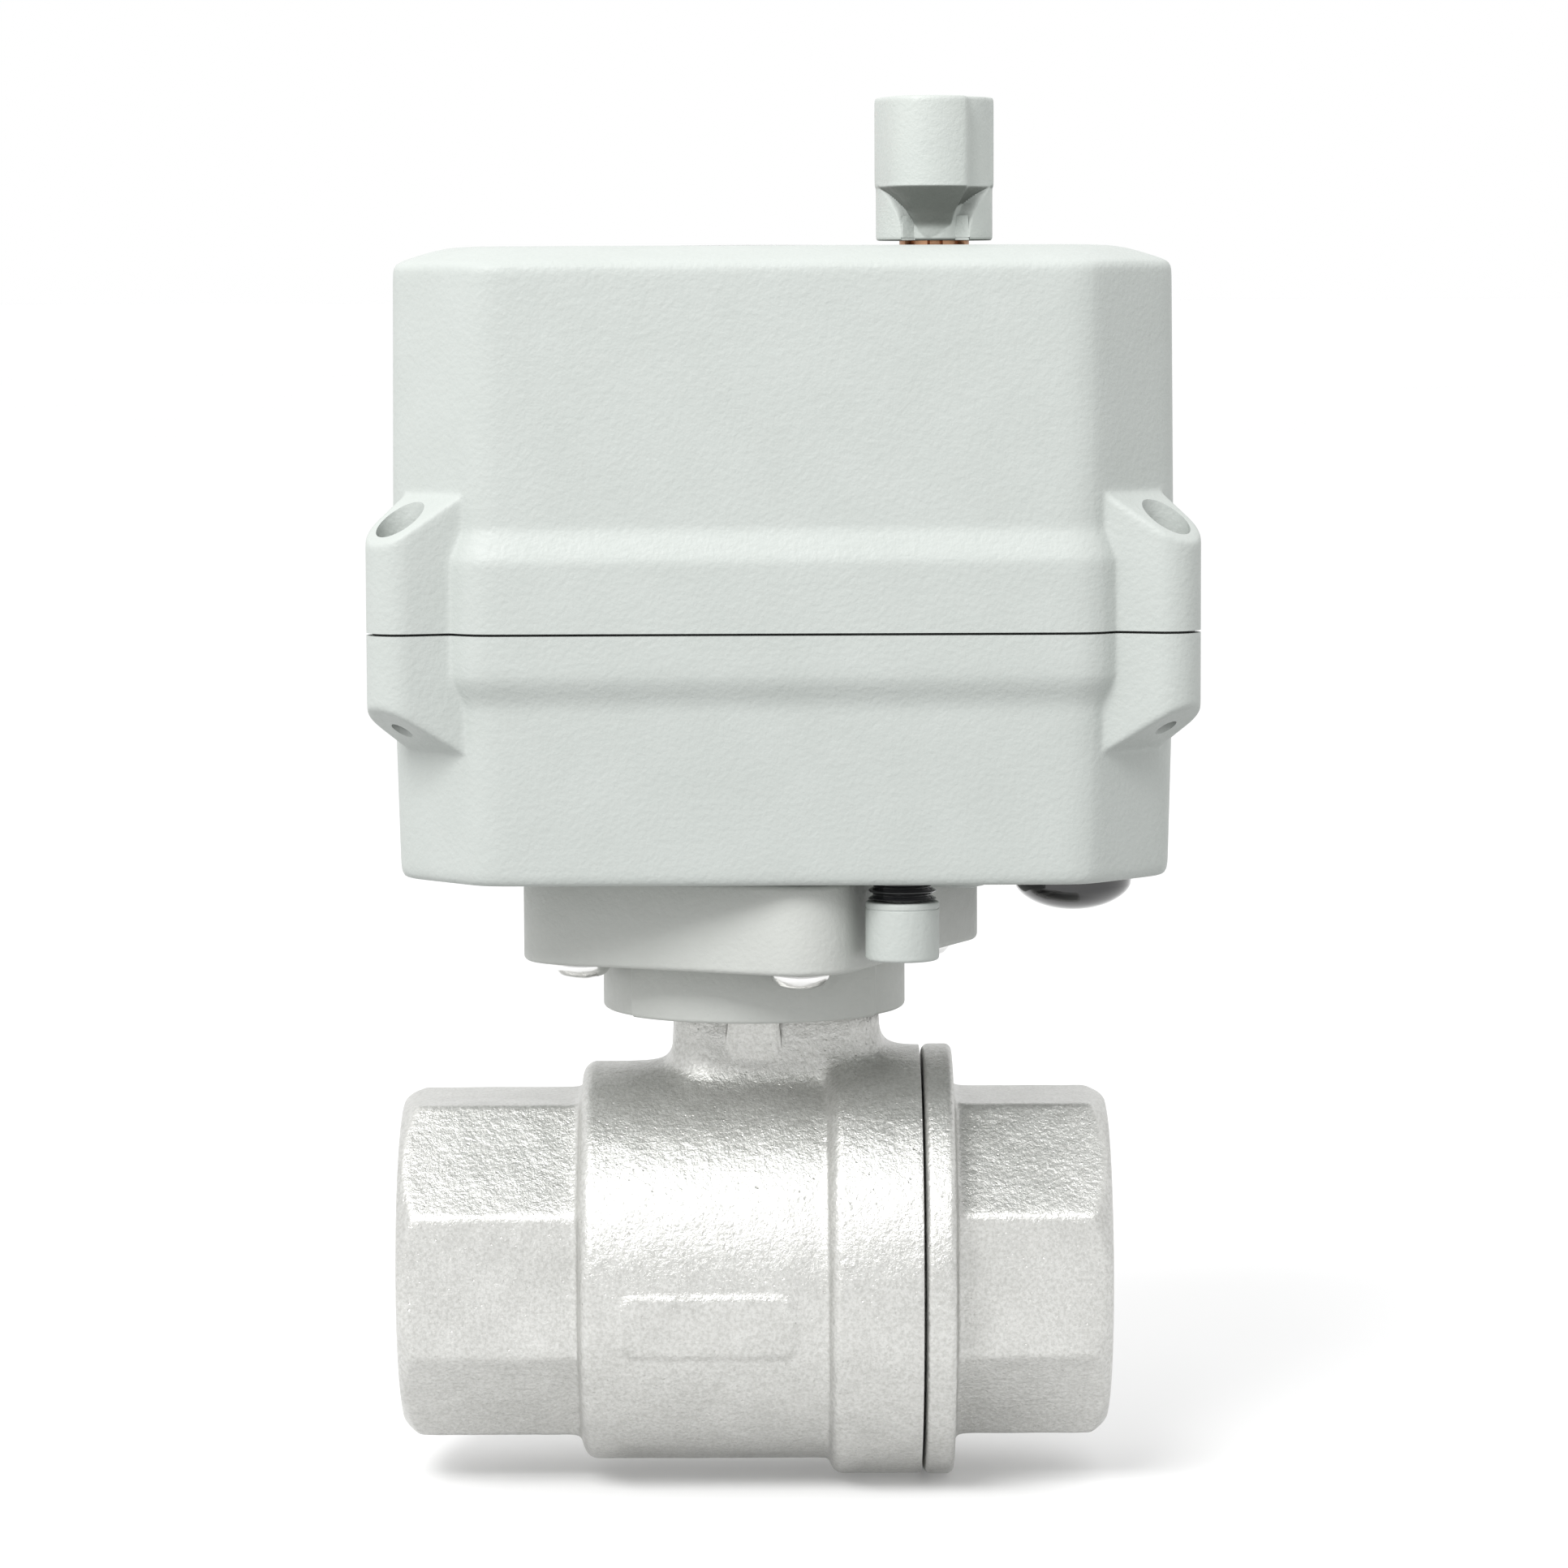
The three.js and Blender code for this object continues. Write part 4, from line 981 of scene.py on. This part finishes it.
def round_bar(x, r, x0, x1, radius, corner):
    """A round bar along the pipe with rounded rims."""
    qx = np.abs(x - (x0 + x1) / 2) - ((x1 - x0) / 2 - corner)
    return rounded_box(qx, r - (radius - corner), corner)


def octagon_end(x, y, z, side):
    """An octagonal wrench end with its outer corners turned off."""
    r = np.hypot(y, z)
    ay, az = np.abs(y), np.abs(z)
    flats = soft_max(0.18, ay - HALF_FLATS, az - HALF_FLATS, (ay + az) / math.sqrt(2) - HALF_FLATS)
    end = side * x - VALVE_END
    cone = 0.745 * end + 0.667 * (r - 19.75)
    return soft_max(0.2, flats, end, cone, -side * x)


def raised_pad(x, y, z):
    """Height of the plain cast pad on the barrel's front, 0 to 1."""
    half_length, half_height, corner, edge = 10.6, 3.9, 2.0, 0.12
    around = np.hypot(y, z) * np.arctan2(z + 4.4, -y)
    qx = np.abs(x + 5.6) - (half_length - corner)
    gap = rounded_box(qx, np.abs(around) - (half_height - corner), corner)
    return np.where(y < -5, 1 / (1 + np.exp(np.clip(gap / edge, -40, 40))), 0)


def body_field(x, y, z):
    """The valve body from outside: octagon, barrel, flange, neck and the small lug in front of it."""
    r = np.hypot(y, z)
    barrel = round_bar(x, r, -21.2, 30, 24.6, 1.8)
    flange = soft_max(0.1, round_bar(x, r, 9.2, 30, FLANGE_R, 1.6), x - BODY_FACE)
    wrench = octagon_end(x, y, z, -1)
    corner = 5.0
    qx = np.abs(x - 2.7) - (12.6 - corner)
    qy = np.abs(y) - (8.3 - corner + 0.02 * np.maximum(31.6 - z, 0))
    neck = soft_max(0.2, rounded_box(qx, qy, corner), z - NECK_TOP, -z)
    lug_side = np.abs(x) + 0.35 * np.maximum(-y - 11.5, 0) - 3.3
    lug = soft_max(0.4, lug_side, -11.6 - y, y + 4, z - NECK_TOP, 28.2 - z - 0.5 * (y + 8.0))
    round_part = soft_min(0.35, barrel, flange)
    shape = soft_min(0.25, soft_min(0.5, soft_min(1.3, round_part, neck), wrench), lug)
    return np.maximum(shape, x - BODY_FACE)


def cap_field(x, y, z):
    """The end cap from outside: flange and octagon."""
    r = np.hypot(y, z)
    flange = round_bar(x, r, CAP_FACE, 24.4, 26.6, 0.9)
    return soft_min(0.5, flange, octagon_end(x, y, z, 1))


def thread_rings(angles, side):
    """A right-handed pipe thread: it runs out inside, and opens into a bevel at the mouth."""
    rings = []
    for depth in np.arange(0.3, VALVE_END - THREAD_ROOT, 0.25):
        x = VALVE_END - depth
        phase = (x / PITCH + side * angles / (2 * np.pi)) % 1.0
        wave = 1 - 2 * np.abs(phase - 0.5)
        cut = THREAD_DEPTH * np.clip(wave * 1.25 - 0.12, 0, 1)
        run_out = np.clip((x - THREAD_ROOT - 1.2) / 2.5, 0, 1)
        bevel = np.clip(1.7 - depth, 0, 1.7)
        radius = np.maximum(THREAD_R + cut * run_out, THREAD_R + bevel)
        y, z = radius * np.cos(angles), radius * np.sin(angles)
        rings.append(np.stack([side * x + 0 * radius, y, z], axis=1))
    return rings


def pipe_circle(angles, x, r):
    """A plain circle round the pipe's axis."""
    return np.stack([np.full(len(angles), x), r * np.cos(angles), r * np.sin(angles)], axis=1)


def cast_roughness(ring_points, height):
    """Moves points by a slow uneven swell, as tumbled castings have."""
    shifted = []
    for point in ring_points.reshape(-1, 3):
        swell = noise.noise(Vector(point) * 0.35) + 0.5 * noise.noise(Vector(point) * 0.9)
        radial = np.array([0, point[1], point[2]]) / max(1e-6, math.hypot(point[1], point[2]))
        shifted.append(point + radial * swell * height)
    return np.array(shifted).reshape(ring_points.shape)


def valve_angles():
    """Angles round the pipe axis, closer together beside the neck."""
    up, near, far = math.pi / 2, 0.18, 0.62
    fine = np.concatenate([np.linspace(up + s * near, up + s * far, 60) for s in (-1, 1)])
    return circle_and(400, fine)


def valve_body():
    """The body casting: its outside, the thread, and the stepped bore for seats and ball."""
    angles = valve_angles()
    levels = steps_through(
        (BODY_FACE, 19.0, 0.15),
        (19.0, 17.4, 0.3),
        (17.4, 14.4, 0.15),
        (14.4, 11.4, 0.4),
        (11.4, 8.2, 0.14),
        (8.2, -7.5, 0.4),
        (-7.5, -14.5, 0.2),
        (-14.5, -18.8, 0.4),
        (-18.8, -22.6, 0.12),
        (-22.6, -39.0, 0.6),
        (-39.0, -43.49, 0.16),
    )
    outer = pipe_rings(body_field, angles, levels, 60)
    pad = raised_pad(outer[..., 0], outer[..., 1], outer[..., 2])
    radial = outer * [0, 1, 1]
    radial /= np.linalg.norm(radial, axis=2, keepdims=True)
    pad_height = 0.32
    outer = cast_roughness(outer + radial * pad_height * pad[..., None], 0.035)
    outer[0, :, 0] = BODY_FACE
    seat_bore = [(-27.0, PIPE_R), (-16.0, PIPE_R), (-16.0, 16.8), (-9, 16.8)]
    ball_bore = [(-8, 20.0), (17.9, 20.0), (17.9, 22.2), (BODY_FACE, 22.2)]
    rings = list(outer) + [pipe_circle(angles, -VALVE_END, MOUTH_R)] + thread_rings(angles, -1)
    rings += [pipe_circle(angles, x, r) for x, r in seat_bore + ball_bore]
    return skin_object("valve_body_casting", rings, True, CASTING_SHARP)


def end_cap():
    """The cap casting: its outside, the thread, and the bore with the seat's pocket."""
    angles = circle(400)
    levels = steps_through(
        (CAP_FACE + 0.02, 22.0, 0.12),
        (22.0, 23.6, 0.4),
        (23.6, 26.4, 0.12),
        (26.4, 39.0, 0.6),
        (39.0, 43.49, 0.16),
    )
    outer = cast_roughness(pipe_rings(cap_field, angles, levels, 60), 0.03)
    bore = [(27.0, PIPE_R), (16.3, PIPE_R), (16.3, 19.8), (CAP_FACE, 19.8)]
    rings = list(outer) + [pipe_circle(angles, VALVE_END, MOUTH_R)] + thread_rings(angles, 1)
    rings += [pipe_circle(angles, x, r) for x, r in bore]
    return skin_object("end_cap_casting", rings, True, CASTING_SHARP)


def ball():
    """A bored ball with softened bore edges."""
    radius, bore = 19.0, PIPE_R
    start = math.acos(bore / radius) - 0.03
    arc = [(radius * math.cos(t), radius * math.sin(t)) for t in np.linspace(-start, start, 40)]
    edge = arc[-1][1]
    lip = bore + 0.15
    hole = [(lip, edge + 0.1), (bore, edge - 0.2), (bore, -edge + 0.2), (lip, -edge - 0.1)]
    return lathe("ball_polished", arc + hole, closed=True, segments=96, along_x=True)


def seat(side):
    """A ring of the section that touches the ball, on the given side."""
    name = "seat_left" if side < 0 else "seat_right"
    face = [(16.6, 15.9), (16.6, 10.6), (14.7, 12.8), (12.8, 14.8), (12.8, 15.9)]
    profile = [(r, side * x) for r, x in face]
    return lathe(name + "_ring", profile, closed=True, segments=96, along_x=True)


# ---------------------------------------------------------------- small parts
UP = np.array([0, 0, 1])


def indicator_window():
    """A flat round lens with a slightly sloped edge, just below the lid's face."""
    low, high = WINDOW_LOW[2], WINDOW_HIGH[2] - 0.3
    radius = (WINDOW_HIGH[0] - WINDOW_LOW[0]) / 2
    profile = [(0, low), (radius, low), (radius, high - 0.15), (radius - 0.9, high), (0, high)]
    return lathe("indicator_lens", rounded(profile, 0.25, 3), segments=96)


def cable_plug():
    """A domed blanking plug with a flange and a turned-down neck."""
    low, high = span("cable_plug")
    z = low[2] - 0.8  # the dome hangs a little lower than the CAD's
    dome = []
    for t in np.linspace(0, 1.57, 16):
        dome.append((6.9 * math.sin(t) + 0.35 * math.sin(t) ** 6, z + 3.6 * (1 - math.cos(t))))
    flange = [(7.35, z + 4.0), (7.45, z + 4.3), (7.45, z + 5.1), (7.4, z + 5.45)]
    neck = [(5.7, z + 5.5), (5.7, high[2]), (0, high[2])]
    return lathe("blanking_plug", dome + flange + neck, (PLUG_X, PLUG_Y), 72)


def plug_washer():
    """A round-edged rubber ring between the plug's flange and the housing."""
    low, high = span("plug_washer")
    mid = (low[2] + high[2]) / 2
    half = (high[2] - low[2]) / 2
    profile = [(6.65 + 0.7 * math.cos(t), mid + half * math.sin(t)) for t in circle(14)]
    return lathe("plug_seal", profile, (PLUG_X, PLUG_Y), 60, closed=True)


def release_button():
    """A cap with a fine groove near its top, on a stem with a collar inside the housing."""
    low, high = BUTTON_LOW[2], BUTTON_HIGH[2]
    cap = [(0, low), (4.4, low), (4.4, low + 6.1), (4.28, low + 6.2), (4.4, low + 6.3), (4.4, low + 7.0)]
    stem = [(2.0, low + 7.0), (2.0, 52.8), (3.1, 52.8), (3.1, 54), (2.0, 54), (2.0, high), (0, high)]
    profile = cap + stem
    radii = [0, 0.5, 0.05, 0.05, 0.05, 0.35, 0.2, 0.1, 0.2, 0.2, 0.1, 0.3, 0]
    return lathe("release_button_cap", rounded(profile, radii, 5), (BUTTON_X, BUTTON_Y), 64)


def release_boot():
    """A short black bellows between the button and the housing."""
    low, high = span("release_boot")
    folds, mean, swing, count = 2, 3.75, 0.3, 25
    levels = np.linspace(low[2], high[2], count)
    shares = np.linspace(0, 1, count)
    outer = [(mean + swing * math.cos(2 * math.pi * folds * t), z) for t, z in zip(shares, levels)]
    inner = [(2.4, high[2]), (2.4, low[2])]
    return lathe("release_bellows", outer + inner, (BUTTON_X, BUTTON_Y), 56, closed=True)


def release_spring():
    """A closed-end compression spring: one round wire on a helix."""
    low, high = span("release_spring")
    wire, mean, turns, per_turn, sides = 0.35, 2.75, 4, 28, 10
    rings = []
    for i in range(turns * per_turn + 1):
        t = i / (turns * per_turn)
        climb = t * t * (3 - 2 * t) * 0.35 + t * 0.65  # flatter turns at both ends
        angle = 2 * math.pi * turns * t
        z = low[2] + wire + (high[2] - low[2] - 2 * wire) * climb
        out = np.array([math.cos(angle), math.sin(angle), 0])
        centre = out * mean + [BUTTON_X, BUTTON_Y, z]
        rings.append([centre + wire * (math.cos(a) * out + math.sin(a) * UP) for a in circle(sides)])
    return skin_object("release_coil", rings, False)


# ---------------------------------------------------------------- the whole
def build():
    make_camera()
    make_light()
    make_floor()
    dress_cad_nodes()
    made = {
        "upper_cover": upper_cover(),
        "lower_housing": lower_housing(),
        "cover_gasket": cover_gasket(),
        "adapter_ring": adapter_ring(),
        "base_pad": base_pad(),
        "hand_knob": hand_knob(),
        "manual_shaft": manual_shaft(),
        "valve_body": valve_body(),
        "end_cap": end_cap(),
        "ball": ball(),
        "seat_left": seat(-1),
        "seat_right": seat(1),
        "indicator_window": indicator_window(),
        "cable_plug": cable_plug(),
        "plug_washer": plug_washer(),
        "release_button": release_button(),
        "release_boot": release_boot(),
        "release_spring": release_spring(),
    }
    for index in CORNERS:
        made[f"pad_screw_{index}"] = pan_screw(index)
        made[f"cover_screw_{index}"] = cover_screw(index)
    for node, piece in made.items():
        place_piece(piece, node)
    boss = casting_boss()
    boss.data.materials.append(LOOKS["housing_grey"])
    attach(boss, "frame")
    for index in CORNERS:
        # a dark insert in each lower ear's screw hole: painted shade
        shade_insert = painted_shade_insert(index)
        shade_insert.data.materials.append(LOOKS["black_plastic"])
        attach(shade_insert, "frame")
    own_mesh(made["release_boot"])
    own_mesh(made["release_spring"])


build()
